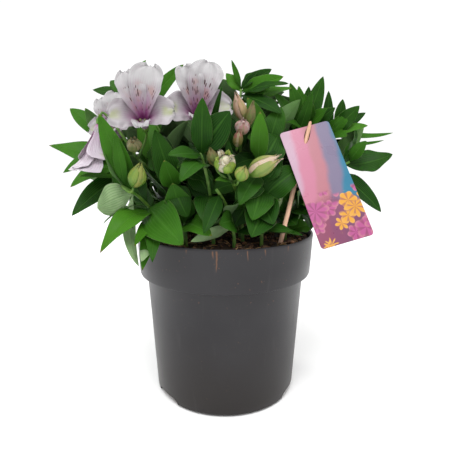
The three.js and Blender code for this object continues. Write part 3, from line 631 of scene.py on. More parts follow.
def add_leaf(skin, leaf, chance):
    """A leaf along its arched middle line, folded at the midrib and gently waved."""
    middle, side = leaf_line(leaf)
    u = np.linspace(0, 1, LEAF_ROWS)
    line = leaf.root, middle, leaf.tip, u[:, None]
    centres = bezier(*line)
    normals = np.cross(side, bezier_tangent(*line))
    centres[0] -= unit(leaf.tip - leaf.root) * ROOT_SINK
    stalk = LEAF_STALK * smooth_step(1 - u, 0, 0.4)
    halves = np.maximum(LEAF_WIDEN * leaf.width * leaf_breadth(u) / 2, stalk)[:, None]
    shares = LEAF_SHARES[None, :]
    waves = between(LEAF_WAVES, chance[1]) * u + chance[0]
    wave = np.sin(FULL_TURN * waves)[:, None] * shares * np.abs(shares)
    fold = between(LEAF_FOLD, chance[2]) * (np.abs(shares) ** 1.3 - 0.45)
    lift = halves * (fold + between(LEAF_WAVE_DEPTH, chance[3]) * wave)
    points = centres[:, None] + (shares * halves)[..., None] * side
    points = points + lift[..., None] * normals[:, None]
    tone = chance[4] * min(1, DARK_WIDTH / leaf.width)
    sheet(skin, points, normals, LEAF_THICKNESS, LEAF_SHARES, u, tone, leaf.pale)


def corner_tree(node):
    """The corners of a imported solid, in millimetres, to look its leaves' tips up in."""
    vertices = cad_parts[node].data.vertices
    tree = KDTree(len(vertices))
    for i, vertex in enumerate(vertices):
        tree.insert(vertex.co / MM, i)
    tree.balance()
    return tree


def nudges():
    """Small shifts of a leaf's tip, in the order in which they were tried."""
    shifts = [(0, 0, 0)]
    for step in DEPTH_SHIFTS:
        shifts += [(0, step, 0), (0, -step, 0)]
    for step in SIDE_SHIFTS:
        shifts += [(step, 0, 0), (-step, 0, 0), (0, 0, step), (0, 0, -step)]
        shifts += [(step, step, 0), (-step, step, 0), (step, -step, 0), (-step, -step, 0)]
    return shifts


def placed_leaf(stem, leaf, tree):
    """One leaf of the lists, with its tip where the solid has it."""
    at, tip, width, facing, arch = leaf
    face = np.array(FACINGS[facing], float)
    for shift in nudges():
        end = np.array(tip, float) + shift
        if tree.find(end)[2] < SAME_POINT:
            found = Leaf(stem_point(stem, at), end, width, face, arch)
            return found._replace(pale=1) if facing in PALE_SIDES else found
    return None


def open_side(stem, distance):
    """The way that a shoot's ruled leaves look, in degrees, and how far they spread."""
    x, y = stem.top[:2]
    if stem.leaves:
        behind = math.atan2(BEHIND_REACH + max(0, y), x * BEHIND_NARROW)
        return math.degrees(behind), BEHIND_FAN
    return math.degrees(math.atan2(y, x)), INNER_FAN if distance < INNER_SHOOT else OUTER_FAN


def pointing(azimuth, height):
    """The direction of two angles in degrees, round from +X and up from level."""
    a, b = math.radians(azimuth), math.radians(height)
    return np.array((math.cos(a) * math.cos(b), math.sin(a) * math.cos(b), math.sin(b)))


def found_turn(root, azimuth, lift, steepest, length, tree):
    """Tip, heading and share of the length of the first turn that ends on a solid's corner."""
    for share, rise, swing in product(LENGTH_SHARES, RISES, SWINGS):
        way = pointing(azimuth + swing, min(lift + rise, steepest))
        tip = root + way * length * share
        if tree.find(tip)[2] < SAME_POINT:
            return tip, azimuth + swing, share
    return None


def ruled_leaf(stem, index, random, tree):
    """A leaf by the rule for the hidden sides, turned the way that the solid has it."""
    distance = math.hypot(*stem.top[:2])
    outward, spread = open_side(stem, distance)
    azimuth = outward + spread * even_place(index) + sway(RULED_SWAY, random)
    lowest = LOWEST_INNER if distance < INNER_SHOOT else LOWEST_OUTER
    at = between((lowest, 1), (index + RULED_START) / stem.more)
    length = between(RULED_LENGTH, next(random))
    width = between(RULED_WIDTH, next(random))
    arch = between(RULED_ARCH, next(random))
    roll = sway(RULED_ROLL, random)
    root = stem_point(stem, at)
    headroom = CROWN_HEIGHT - CROWN_FALL * distance * distance - root[2]
    steepest = math.degrees(math.asin(np.clip(headroom / length, *LIFT_SINES)))
    lift = min(between(RULED_LIFT, at) + sway(RULED_SWAY, random), steepest)
    found = found_turn(root, azimuth, lift, steepest, length, tree)
    if found is None:
        return None
    tip, heading, share = found
    sideways = abs(math.sin(math.radians(heading - outward)))
    face = pointing(outward, between(RULED_FACE, sideways) + roll)
    return Leaf(root, tip, width * share, face, arch)


def low_leaf(stem, index, random, tree):
    """A shorter leaf low on a shoot, turned the way that the solid has it."""
    outward = math.degrees(math.atan2(stem.foot[1], stem.foot[0]))
    azimuth = outward + LOW_FAN * even_place(index) + sway(LOW_SWAY, random)
    root = stem_point(stem, between(LOW_ROOTS, (index + next(random)) / LOW_LEAVES))
    length = between(LOW_LENGTH, next(random))
    width = between(LOW_WIDTH, next(random))
    arch = between(LOW_ARCH, next(random))
    face = pointing(outward, LOW_FACE + sway(LOW_ROLL, random))
    lift = between(LOW_LIFT, next(random))
    found = found_turn(root, azimuth, lift, 90, length, tree)
    if found is None:
        return None
    tip, _, share = found
    return Leaf(root, tip, width * share, face, arch)


def fill_shoots():
    """The shoots of the middle, the sides and the back, spread like seeds."""
    feet = [stem.foot for stem in SHOOTS] + [STICK_FOOT]
    random = random_from(FILL_SEED)
    shoots = []
    for i in range(4 * FILL_COUNT):
        if len(shoots) == FILL_COUNT:
            break
        radius = FILL_REACH * math.sqrt((i + 0.5) / (2 * FILL_COUNT))
        angle = math.radians(GOLDEN_ANGLE * i + FILL_TURN)
        foot = (radius * math.cos(angle), radius * math.sin(angle))
        draw = next(random)
        crowded = any(math.dist(other, foot) < FOOT_SPACING for other in feet)
        if radius > FILL_REACH or foot[1] < FILL_FRONT_LIMIT or crowded:
            continue
        feet.append(foot)
        reach = radius * FILL_SPREAD
        height = FILL_TOP_HEIGHT - FILL_TOP_FALL * reach * reach - FILL_TOP_DROP * draw
        top = (reach * math.cos(angle), reach * math.sin(angle), height)
        shoots.append(Shoot(f"shoot_fill_{len(shoots) + 1:02d}", foot, top, FILL_LEAVES, ()))
    return shoots


def found_leaves(shoots):
    """Every shoot's leaves, placed as in the solids."""
    trees = {stem.name: corner_tree(stem.name) for stem in shoots}
    random = random_from(FILL_SEED + 1)
    leaves = {}
    for stem in shoots:
        leaves[stem.name] = [placed_leaf(stem, leaf, trees[stem.name]) for leaf in stem.leaves]
    for stem in shoots:
        tree = trees[stem.name]
        leaves[stem.name] += [ruled_leaf(stem, i, random, tree) for i in range(stem.more)]
    for stem in shoots:
        if stem.foot[1] < LOW_BACK_LIMIT:
            tree = trees[stem.name]
            leaves[stem.name] += [low_leaf(stem, i, random, tree) for i in range(LOW_LEAVES)]
    return {name: [leaf for leaf in found if leaf is not None] for name, found in leaves.items()}


def flat_leaf(leaf, u, shares):
    """Points of a flat leaf, row by row, to see whether it meets another."""
    middle, side = leaf_line(leaf)
    centres = bezier(leaf.root, middle, leaf.tip, u[:, None])
    halves = leaf.width * leaf_breadth(u) / 2
    return centres[:, None] + (halves[:, None] * shares)[..., None] * side


def grid_tree(points):
    """A search tree of rows of points joined to quads."""
    rows, columns = points.shape[:2]
    quads = []
    for i in range(rows - 1):
        for j in range(columns - 1):
            k = i * columns + j
            quads.append((k, k + 1, k + columns + 1, k + columns))
    return BVHTree.FromPolygons(points.reshape(-1, 3).tolist(), quads)


def solid_trees():
    """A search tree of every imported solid."""
    trees = []
    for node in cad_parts.values():
        corners = [tuple(vertex.co / MM) for vertex in node.data.vertices]
        faces = [tuple(face.vertices) for face in node.data.polygons]
        trees.append(BVHTree.FromPolygons(corners, faces))
    return trees


def within_crown(point):
    """Whether a point lies inside the crown, behind what is placed one by one."""
    x, y, z = point
    reach = math.hypot(x, y)
    rise = z - SOIL_LEVEL
    if not GAP_BOTTOM < z < GAP_TOP - GAP_TOP_FALL * reach * reach:
        return False
    widest = (GAP_BACK_REACH if y > 0 else GAP_FRONT_REACH) + GAP_FLARE * rise
    return reach <= widest and y > GAP_FRONT + GAP_FRONT_SLOPE * rise


def gap_leaf(root, random):
    """A small leaf in a random direction, mostly outwards."""
    outward = math.degrees(math.atan2(root[1], root[0]))
    heading = outward + between(GAP_FAN, random.random())
    length = between(GAP_LENGTH, random.random())
    tip = root + pointing(heading, between(GAP_LIFT, random.random())) * length
    face = pointing(outward, between(GAP_FACE, random.random()))
    width = length * between(GAP_WIDTH, random.random())
    return Leaf(root, tip, width, face, between(GAP_ARCH, random.random()))


def gap_leaves(shoots):
    """Small leaves that fill the gaps inside the crown and touch nothing but their stem."""
    random = np.random.default_rng(GAP_SEED)
    trees = solid_trees()
    rows, shares = np.linspace(0.18, 0.97, 6), np.linspace(-1, 1, 4)
    found = {stem.name: [] for stem in shoots}
    for stem in shoots:
        for index in range(GAP_LEAVES):
            at = between(GAP_ROOTS, (index + random.random()) / GAP_LEAVES)
            root = stem_point(stem, at)
            for _ in range(GAP_TRIES):
                leaf = gap_leaf(root, random)
                if not within_crown(leaf.tip):
                    continue
                tree = grid_tree(flat_leaf(leaf, rows, shares))
                if not any(tree.overlap(other) for other in trees):
                    trees.append(tree)
                    found[stem.name].append(leaf)
                    break
    return found


def add_twig(skin, stem, seat, axis, reach, radius):
    """The short stalk that carries a flower or a bud."""
    top = seat - axis * FIT_GAP
    knee, neck = top - axis * reach, top - axis * NECK_LENGTH
    curve = curve_points(np.array(stem.top, float), knee, neck, TWIG_ROWS - 1)
    radii = radius * np.linspace(1, TWIG_TAPER, TWIG_ROWS)
    rod(skin, np.vstack([curve, top]), radii, TWIG_SIDES, finish=1)


# Radius and height from the foot upwards
OVARY_PROFILE = [(0, 0), (1.2, 0), (2.2, 1.4), (2.8, 3.2), (2.9, 4.6), (2.6, 6), (2.1, 7), (0, 7)]
OVARY_SIDES = 30
OVARY_RIBS = 6
RIB_DEPTH = 0.09


def add_ovary(skin, seat, axis):
    """The green swelling below a flower, with its six ribs."""

    def ribs(angles):
        return 1 + RIB_DEPTH * np.cos(OVARY_RIBS * angles)

    foot = seat - axis * (OVARY_LENGTH + FIT_GAP)
    turned(skin, OVARY_PROFILE, OVARY_SIDES, foot, axis, finish=1, swell=ribs)


def shoot_piece(stem, leaves, small_leaves, seed, materials):
    """A leafy stem with all its leaves and the short stalks of what it carries."""
    chances = np.random.default_rng(seed)
    skin = Skin()
    add_stem(skin, stem)
    for bloom in BLOOMS:
        if bloom.stalk == stem.name:
            axis, _, _, base = bloom_frame(bloom)
            add_ovary(skin, base, axis)
            seat = base + axis * (1 - OVARY_LENGTH)
            add_twig(skin, stem, seat, axis, FLOWER_KNEE, FLOWER_TWIG)
    for bud in BUDS:
        if bud.stalk == stem.name:
            seat = np.array(bud.seat, float)
            add_twig(skin, stem, seat, unit(bud.axis), BUD_KNEE, BUD_TWIG)
    for leaf in leaves:
        add_leaf(skin, leaf, chances.random(5))
    for leaf in small_leaves:
        # The small leaves in the gaps get a darker tone: painted shade inside the crown.
        add_leaf(skin, leaf, chances.random(5) * GAP_SHADE_CHANCES)
    piece = skin.build(stem.name + "_leaves", materials)
    settle(piece, "leaf", stem.name)


# Flowers. Depths and lengths are those of a flower of size 1.
TEPAL_ROWS = 34
TEPAL_SHARES = np.sin(np.linspace(-math.pi / 2, math.pi / 2, 21))
TEPAL_THICKNESS = 0.6
CLAW_BREADTH = 0.2
CUP_DEPTH = 0.42
RUFFLE_DEPTH = 1.2
PLEAT_DEPTH = 0.45
CREASE_DEPTH = 0.9
CURL_DEPTH = 2.4
NOTCH_DEPTH = 0.5
OUTER_NOTCH_DEPTH = 0.9
TOOTH_DEPTH = 0.35
CORNER_DEPTH = 1.6
BLOOM_CORE = [(0, 0), (2.2, 0), (3.2, 2), (3.6, 4), (3.4, 6.5), (2.6, 8), (0, 9)]
CORE_SIDES = 24
STAMENS = 7
STYLE = 3
STAMEN_RADII = np.linspace(0.45, 0.3, 9)
STAMEN_SIDES = 6
STAMEN_SPACING = 1.1
STAMEN_SHIFT = 0.9
STAMEN_LENGTH = (11, 16)
STAMEN_BELLY = 13
STAMEN_SAG = 5.5
ANTHER_PROFILE = [(0, -0.4), (0.5, -0.2), (0.75, 0.6), (0.7, 1.5), (0.4, 2.2), (0, 2.4)]
ANTHER_SIDES = 8


def bloom_frame(bloom):
    """Axis, upper side, right side and foot of a flower."""
    axis = unit(bloom.axis)
    upper = unit(UP - axis * axis[2])
    base = np.array(bloom.throat, float) - axis * THROAT_DEPTH * bloom.size
    return axis, upper, np.cross(upper, axis), base


def tepal_line(bloom, tepal):
    """Start, middle and end of a tepal's middle line, and the side that its width runs to."""
    axis, upper, right, base = bloom_frame(bloom)
    angle = math.radians(tepal.turn + bloom.turn)
    out = math.cos(angle) * right + math.sin(angle) * upper
    size = bloom.size
    start = base + out * 1.6 * size + axis * 1.5
    middle = base + out * 7 * size * bloom.spread + axis * tepal.rise * 0.86 * size
    end = base + out * tepal.reach * size * bloom.spread + axis * tepal.rise * size
    end = end - upper * tepal.fall * size
    chord = unit(end - start)
    face = axis - 0.6 * out
    return start, middle, end, unit(np.cross(chord, face - chord * face.dot(chord)))


def tepal_breadth(u, broadest):
    """Breadth as a share of a tepal's width: a narrow claw, the broadest place, a round end."""
    claw = between((CLAW_BREADTH, 1), smooth_step(u, 0, broadest))
    fall = np.clip((u - broadest) / (1 - broadest), 0, 1)
    return np.where(u < broadest, claw, np.sqrt(1 - 0.93 * fall ** 2.2))


def tepal_lift(bloom, rows, shares, halves, phase, chance):
    """How far a tepal stands off its middle line: cup, pleats, crease, ruffles and curl."""
    end_part = smooth_step(rows, 0.4, 1)
    cup = CUP_DEPTH * halves * np.abs(shares) ** 1.5 * (1 - 0.7 * end_part)
    pleat = PLEAT_DEPTH * np.cos(11 * shares) * (1 - shares ** 2) * smooth_step(rows, 0.15, 0.5)
    crease = CREASE_DEPTH * np.exp(-(shares / 0.2) ** 2) * (1 - smooth_step(rows, 0.8, 1))
    ruffle = np.sin(math.pi * (2.4 + chance[0]) * shares + phase + 3 * rows)
    ruffle = ruffle * between((0.25, 1), shares ** 2) * end_part
    ripple = np.sin(FULL_TURN * (4.2 * rows + chance[2]) + 2.5 * shares)
    ripple = ripple * np.abs(shares) ** 3 * smooth_step(rows, 0.3, 0.75)
    curl = CURL_DEPTH * smooth_step(rows, 0.6, 1) ** 2 * (1 - 0.4 * shares ** 2)
    loose = bloom.spread ** 2 * (RUFFLE_DEPTH * (ruffle + ripple) - curl)
    return cup + bloom.size * (loose + pleat - crease)


def tepal_notch(bloom, tepal, rows, shares, phase, chance):
    """How far a tepal's end is drawn back: a notch, small teeth and rounded corners."""
    depth = OUTER_NOTCH_DEPTH if tepal.print < 0 else NOTCH_DEPTH
    notch = depth * np.exp(-((shares - 0.12 * (chance[0] - 0.5)) / 0.22) ** 2)
    teeth = TOOTH_DEPTH * np.sin(7.5 * shares + phase) * (1 - shares ** 2)
    return bloom.size * smooth_step(rows, 0.86, 1) * (notch + teeth + CORNER_DEPTH * shares ** 4)


def add_tepal(skin, bloom, tepal, chance):
    """One tepal: a claw that widens to a cupped, ruffled end with a small notch."""
    start, middle, end, side = tepal_line(bloom, tepal)
    u = np.linspace(0, 1, TEPAL_ROWS) ** 0.85
    centres = bezier(start, middle, end, u[:, None])
    normals = np.cross(side, bezier_tangent(start, middle, end, u[:, None]))
    shares = TEPAL_SHARES[None, :]
    rows = u[:, None]
    phase = 6.3 * chance[1]
    jagged = np.sin(17 * rows + phase + 2 * np.sign(shares))
    halves = tepal.width * bloom.size * tepal_breadth(rows, tepal.broadest) / 2
    halves = halves * (1 + 0.05 * smooth_step(rows, 0.5, 0.9) * jagged)
    lift = tepal_lift(bloom, rows, shares, halves, phase, chance)
    back = tepal_notch(bloom, tepal, rows, shares, phase, chance)
    points = centres[:, None] + (shares * halves)[..., None] * side
    points = points + lift[..., None] * normals[:, None]
    points = points + back[..., None] * np.cross(normals, side)[:, None]
    sheet(skin, points, normals, TEPAL_THICKNESS, TEPAL_SHARES, u, chance[2], tepal.print)


def add_stamens(skin, bloom, random):
    """Six stamens and the style, which lean to the lower side and turn up at their ends."""
    axis, upper, right, base = bloom_frame(bloom)
    size = bloom.size
    for i in range(STAMENS):
        across = (i - STYLE) * STAMEN_SPACING + STAMEN_SHIFT * (random.random() - 0.5)
        reach = between(STAMEN_LENGTH, random.random())
        sag = (STAMEN_SAG - 0.5 * abs(i - STYLE)) * size
        middle = base + axis * STAMEN_BELLY * size - upper * sag + right * across * 0.6
        end = base + (axis * reach + right * across * 1.2 - upper * (2.5 - random.random())) * size
        curve = curve_points(base + axis * 5, middle, end, len(STAMEN_RADII))
        rod(skin, curve, STAMEN_RADII, STAMEN_SIDES, finish=1)
        if i != STYLE:
            along = unit(curve[-1] - curve[-2])
            turned(skin, ANTHER_PROFILE, ANTHER_SIDES, end, along + 0.5 * upper, finish=2)


def bloom_piece(bloom, materials):
    """An open flower on a small core that holds its tepals together."""
    random = np.random.default_rng(sum(map(ord, bloom.name)))
    skin = Skin()
    axis, _, _, base = bloom_frame(bloom)
    turned(skin, BLOOM_CORE, CORE_SIDES, base, axis)
    for tepal in TEPALS[:bloom.petals]:
        add_tepal(skin, bloom, tepal, random.random(3))
    add_stamens(skin, bloom, random)
    piece = skin.build(bloom.name + "_petals", materials)
    settle(piece, "tepal", bloom.name)


# Buds
BUD_ROWS = 16
BUD_SHARES = np.linspace(-1, 1, 11)
BUD_PETAL_THICKNESS = 0.7
OUTER_HALF_ANGLE = 44
INNER_HALF_ANGLE = 50
BUD_CORE_WIDTH = 0.9
BUD_CORE_LENGTH = 0.94
BUD_CORE_END = 0.95


def bud_radius(u):
    """Outline of a bud along its length, as a share of its radius."""
    return np.sin(math.pi * np.clip(0.06 + 0.94 * u, 0, 1) ** 0.9).clip(0) ** 0.78


def add_bud_petal(skin, bud, turn, half_angle, tone, inside):
    """One curved petal that wraps part of a bud, from its seat to its tip. Inside is 0 or 1."""
    axis = unit(bud.axis)
    side, other = sides_of(axis)
    u = np.linspace(0, 1, BUD_ROWS)
    shares = BUD_SHARES
    mouth = bud.openness * smooth_step(u, 0.5, 1)
    radius = bud.radius * (np.maximum(bud_radius(u), mouth) + 0.05 * (1 - inside))
    narrow = np.sqrt(np.clip(1 - 0.9 * smooth_step(u, 0.66, 1.02), 0, 1))
    narrow = narrow * between((0.6, 1), smooth_step(u, 0, 0.4))
    angles = math.radians(turn) + math.radians(half_angle) * narrow[:, None] * shares
    frill = smooth_step(u, 0.6, 1)[:, None] * np.sin(9 * shares + 6 * tone)
    frill = frill * bud.openness * (0.1 + 0.22 * inside)
    keel = 1 + 0.1 * (1 - np.abs(shares)) ** 2 * (1 - inside) + frill
    out = np.cos(angles)[..., None] * side + np.sin(angles)[..., None] * other
    fall = smooth_step(u, 0.7, 1)[:, None] * (0.1 * shares ** 2 - 0.1 * inside + 0.2 * frill)
    height = bud.length * (u[:, None] - fall)
    outer = np.array(bud.seat, float) + (radius[:, None] * keel)[..., None] * out
    outer = outer + height[..., None] * axis
    inner = outer - BUD_PETAL_THICKNESS * out * (1 - shares ** 4)[None, :, None]
    inner[0] = outer[0]
    inner[-1] = outer[-1]
    skin.two_faces(outer, inner, shares, u, tone, inside)


def bud_piece(bud, materials):
    """A bud of three inner and three outer petals about a closed core."""
    random = np.random.default_rng(sum(map(ord, bud.name)))
    skin = Skin()
    u = np.linspace(0, 1, 12)
    radii = bud.radius * BUD_CORE_WIDTH * bud_radius(u)
    heights = bud.length * BUD_CORE_LENGTH * u
    profile = [(0, 0), *zip(radii, heights), (0, bud.length * BUD_CORE_END)]
    turned(skin, profile, CORE_SIDES, bud.seat, bud.axis, marks=(0.5, 1, 1))
    first = 360 * random.random()
    for i in range(3):
        turn = first + 60 + 120 * i
        add_bud_petal(skin, bud, turn, INNER_HALF_ANGLE, random.random(), 1)
    for i in range(3):
        turn = first + 120 * i
        add_bud_petal(skin, bud, turn, OUTER_HALF_ANGLE, random.random(), 0)
    piece = skin.build(bud.name + "_petals", materials)
    settle(piece, "bud", bud.name)


# Finishes
class Term:
    """A value that a finish works out at each point, to reckon with like a number."""

    def __init__(self, finish, socket):
        self.finish = finish
        self.socket = socket

    def __add__(self, other):
        return self.finish.math("ADD", self, other)

    def __sub__(self, other):
        return self.finish.math("SUBTRACT", self, other)

    def __mul__(self, other):
        return self.finish.math("MULTIPLY", self, other)

    def __abs__(self):
        return self.finish.math("ABSOLUTE", self)

    def larger(self, other):
        return self.finish.math("MAXIMUM", self, other)

    def span(self, low, high, start=0.0, end=1.0):
        """Runs smoothly from start to end while this value runs from low to high."""
        inputs = {0: self, 1: low, 2: high, 3: start, 4: end}
        return self.finish.node("MapRange", inputs, interpolation_type="SMOOTHSTEP")

    def stripes(self, count, width):
        """Thin lines, one for each step when this value is cut into that many steps."""
        return self.finish.math("PINGPONG", self * count, 0.5).span(width, 0.0)

    def under(self, colour, share):
        """This colour with a share of another one laid over it."""
        return self.finish.mix(share, self, colour)


class Finish:
    """A procedural material, made node by node."""

    def __init__(self, name):
        self.material = bpy.data.materials.new(name)
        self.material.use_nodes = True
        self.tree = self.material.node_tree
        self.shader = self.tree.nodes["Principled BSDF"]

    def put(self, socket, value):
        self.fill(self.shader.inputs[socket], value)

    def fill(self, socket, value):
        if isinstance(value, Term):
            self.tree.links.new(value.socket, socket)
        elif socket.type == "RGBA":
            socket.default_value = (*value, 1.0)
        else:
            socket.default_value = value

    def node(self, kind, inputs, *outputs, **options):
        """The named outputs of a new node, or its first one."""
        node = self.tree.nodes.new("ShaderNode" + kind)
        for key, value in options.items():
            setattr(node, key, value)
        for key, value in inputs.items():
            self.fill(node.inputs[key], value)
        terms = [Term(self, node.outputs[key]) for key in outputs or (0,)]
        return terms if len(terms) > 1 else terms[0]

    def math(self, operation, *values):
        return self.node("Math", dict(enumerate(values)), operation=operation)

    def vector(self, operation, *values, output="Vector"):
        return self.node("VectorMath", dict(enumerate(values)), output, operation=operation)

    def mix(self, share, first, second):
        return self.node("Mix", {0: share, 6: first, 7: second}, 2, data_type="RGBA")

    def mark(self, name):
        return self.node("Attribute", {}, "Fac", attribute_name=name)

    def parts(self, vector):
        return self.node("SeparateXYZ", {0: vector}, 0, 1, 2)

    def surface(self):
        """Where a point lies across and along its surface, each from 0 to 1."""
        return self.parts(self.node("UVMap", {}, uv_map="UVMap"))[:2]

    def position(self):
        return self.node("TexCoord", {}, "Object")

    def joined(self, x, y, z=0.0):
        return self.node("CombineXYZ", {0: x, 1: y, 2: z})

    def noise(self, scale, detail, vector=None, distortion=0.0):
        inputs = {"Vector": vector or self.position(), "Scale": scale, "Detail": detail}
        inputs["Distortion"] = distortion
        return self.node("TexNoise", inputs)

    def cells(self, vector, randomness):
        """Distance to the middle of the nearest cell, a random number for it, and its middle."""
        inputs = {"Vector": vector, "Scale": 1.0, "Randomness": randomness}
        distance, tint, middle = self.node("TexVoronoi", inputs, "Distance", "Color", "Position")
        return distance, self.parts(tint)[0], middle

    def soften(self, weight, scale, radius=(1.0, 0.2, 0.1)):
        """Lets a little light through the surface."""
        self.put("Subsurface Weight", weight)
        self.put("Subsurface Scale", scale)
        self.put("Subsurface Radius", radius)

    def done(self, colour, roughness, relief, depth, strength):
        """The material, with its colour, its roughness and its relief laid on."""
        self.put("Base Color", colour)
        self.put("Roughness", roughness)
        inputs = {"Height": relief, "Distance": depth, "Strength": strength}
        self.put("Normal", self.node("Bump", inputs))
        return self.material


LEAF_VEINS = 13
STEM_RIBS = 9
PETAL_VEINS = 15
DASHES_ACROSS = 16
DASHES_ALONG = 9
BUD_VEINS = 9
# Shift to the middle of the crown, where the painted shade on the leaves is deepest
CROWN_MIDDLE = (0, 0, -0.2)


def leaf_finish(settings):
    """Green blade with parallel veins, a pale midrib and margin, a grey-green underside, and painted
    shade near the middle of the crown and towards the root.
    """
    finish = Finish("lily_leaf")
    across, along = finish.surface()
    tone = finish.mark("tone")
    under = finish.mark("under")
    mottle = finish.noise(70, 4)
    shade = tone * 0.8 + along * 0.15 + mottle * 0.4
    base = finish.mix(shade.span(0.2, 1.2), settings.dark, settings.light)
    base = base.under(settings.fresh, tone.span(0.75, 1.0, 0.0, 0.35))
    # Painted shade: leaves turn darker near the middle of the crown and towards their roots.
    from_middle = finish.vector("ADD", finish.position(), CROWN_MIDDLE)
    depth = finish.vector("LENGTH", from_middle, output="Value")
    painted_crown_shade = depth.span(0.11, 0.055, 0.0, 0.75).larger(along.span(0.45, 0.0, 0.0, 0.55))
    base = base.under(settings.dark, painted_crown_shade)
    vein = across.stripes(LEAF_VEINS, 0.2)
    middle = abs(across - 0.5)
    midrib = middle.span(0.035, 0.008)
    margin = middle.span(0.475, 0.497)
    base = base.under(settings.vein, vein * 0.28)
    base = base.under(settings.vein, midrib * 0.35)
    base = base.under(settings.margin, margin * 0.6)
    base = base.under(settings.dry, along.span(0.95, 1.0) * tone.span(0.55, 0.9))
    back = finish.mix(vein * 0.5, settings.underside, settings.vein)
    back = back.under(base, mottle.span(0.3, 0.7, 0.0, 0.35))
    base = base.under(back, under * finish.mark("print"))
    roughness = mottle.span(0.3, 0.7, 0.32, 0.46) + under * 0.2
    relief = finish.noise(900, 2) * 0.25 - (midrib + vein * 0.4)
    finish.put("Specular IOR Level", 0.07)
    finish.soften(0.04, 0.002, (0.3, 1.0, 0.1))
    return finish.done(base, roughness, relief, 0.0003, 0.8)


def stem_finish(settings):
    """Round green stem, paler where it's young, with faint lengthwise ribs and reddish flecks."""
    finish = Finish("lily_stem")
    across, along = finish.surface()
    mottle = finish.noise(160, 4)
    base = finish.mix(mottle.span(0.3, 0.75), settings.stem, settings.light)
    base = base.under(settings.stem_foot, along.span(0.25, 0.0, 0.0, 0.6))
    base = base.under(settings.vein, finish.mark("tone") * 0.25)
    ribs = finish.math("SINE", across * (FULL_TURN * STEM_RIBS))
    return finish.done(base, mottle.span(0.3, 0.7, 0.4, 0.58), ribs + mottle, 0.0002, 0.6)


def tepal_finish(settings):
    """White to lilac petal with a magenta throat, dark dashes, a yellow-green patch and painted light
    on its outer face.
    """
    finish = Finish("lily_tepal")
    across, along = finish.surface()
    printed = finish.mark("print")
    inside = finish.mark("under").span(0.0, 1.0, 1.0, 0.15)
    outer = printed.span(0.0, -1.0)
    dashed = printed.span(0.1, 0.9)
    middle = abs(across - 0.5)
    cloud = finish.noise(120, 4)
    vein = across.stripes(PETAL_VEINS, 0.2) * along.span(1.0, 0.4)
    vein = vein * finish.noise(60, 2).span(0.3, 0.6, 0.4, 1.0)
    shade = along.span(0.9, 0.35, 0.0, 0.6) + cloud * 0.6
    base = finish.mix(shade.span(0.3, 0.95), settings.petal, settings.petal_shade)
    base = base.under(settings.petal_shade, outer * 0.45)
    # Painted light: the outer face is made paler because it faces away from the light.
    base = base.under(settings.petal_back_painted_light, inside.span(1.0, 0.15, 0.0, 0.9))
    base = base.under(settings.petal_vein, vein * 0.6)
    blush = along + middle * 0.4 + cloud * 0.12 - vein * 0.08
    base = base.under(settings.blush, blush.span(0.78, 0.34, 0.0, 0.75) * inside)
    base = base.under(settings.throat, blush.span(0.54, 0.26) * inside)
    band = along.span(0.24, 0.34) * along.span(0.78, 0.58) * middle.span(0.4, 0.22)
    band = band * dashed * inside
    depth = finish.mark("tone") * 5.0
    grid = finish.joined(across * DASHES_ACROSS, along * DASHES_ALONG, depth)
    distance, pick, _ = finish.cells(grid, 0.8)
    chosen = (pick + band * 0.5).span(0.62, 0.68)
    dash = distance.span(0.4, 0.28) * chosen * band.span(0.05, 0.3)
    base = base.under(settings.warm, band * cloud.span(0.4, 0.62) * 0.5)
    patch = along.span(0.66, 0.84) * along.span(1.0, 0.93) * outer * middle.span(0.26, 0.05)
    base = base.under(settings.patch, patch * cloud.span(0.3, 0.6, 0.4, 1.0) * 0.7)
    point = along.span(0.94, 0.985) * middle.span(0.1, 0.03) * outer
    base = base.under(settings.point, point * 0.85)
    base = base.under(settings.dash, dash)
    finish.soften(0.2, 0.0015, (1.0, 0.8, 0.9))
    return finish.done(base, cloud.span(0.3, 0.7, 0.42, 0.6), vein + cloud * 0.6, 0.0002, 0.7)


def plain_finish(name, colour, other, scale, roughness):
    """One colour that drifts into another in soft grains."""
    finish = Finish(name)
    grain = finish.noise(scale, 4)
    share = finish.mark("tone") * 0.6 + grain * 0.6
    base = finish.mix(share.span(0.2, 1.0), colour, other)
    roughness = grain.span(0.3, 0.7, roughness - 0.08, roughness + 0.1)
    return finish.done(base, roughness, grain, 0.0004, 0.6)


def bud_finish(tint, foot, body, tip, inner):
    """Petals of a bud: outer ones from foot to tip, and paler inner ones between them."""
    finish = Finish("lily_bud_" + tint)
    across, along = finish.surface()
    cloud = finish.noise(220, 4)
    drift = along + (cloud - 0.5) * 0.7 + (finish.mark("tone") - 0.5) * 0.3
    base = finish.mix(drift.span(0.1, 0.45), foot, body)
    base = base.under(tip, drift.span(0.62, 0.95))
    vein = across.stripes(BUD_VEINS, 0.22)
    keel = abs(across - 0.5).span(0.16, 0.02)
    base = base.under(foot, vein * 0.25)
    base = base.under(foot, keel * 0.5)
    pale = finish.mix(vein * 0.3, inner, body)
    pale = pale.under(foot, cloud.span(0.56, 0.66, 0.0, 0.6))
    base = base.under(pale, finish.mark("print"))
    finish.soften(0.1, 0.002)
    return finish.done(base, cloud.span(0.3, 0.7, 0.38, 0.56), vein + cloud, 0.0002, 0.8)


# Dried drips on the front of the rim: place to the right, lower end and width, in metres
DRIPS = [
    (-0.0068, 0.137, 0.0008),
    (-0.0095, 0.148, 0.0009),
    (0.0177, 0.146, 0.0007),
    (0.0325, 0.149, 0.0006),
    (-0.031, 0.151, 0.0008),
    (0.052, 0.15, 0.0009),
]


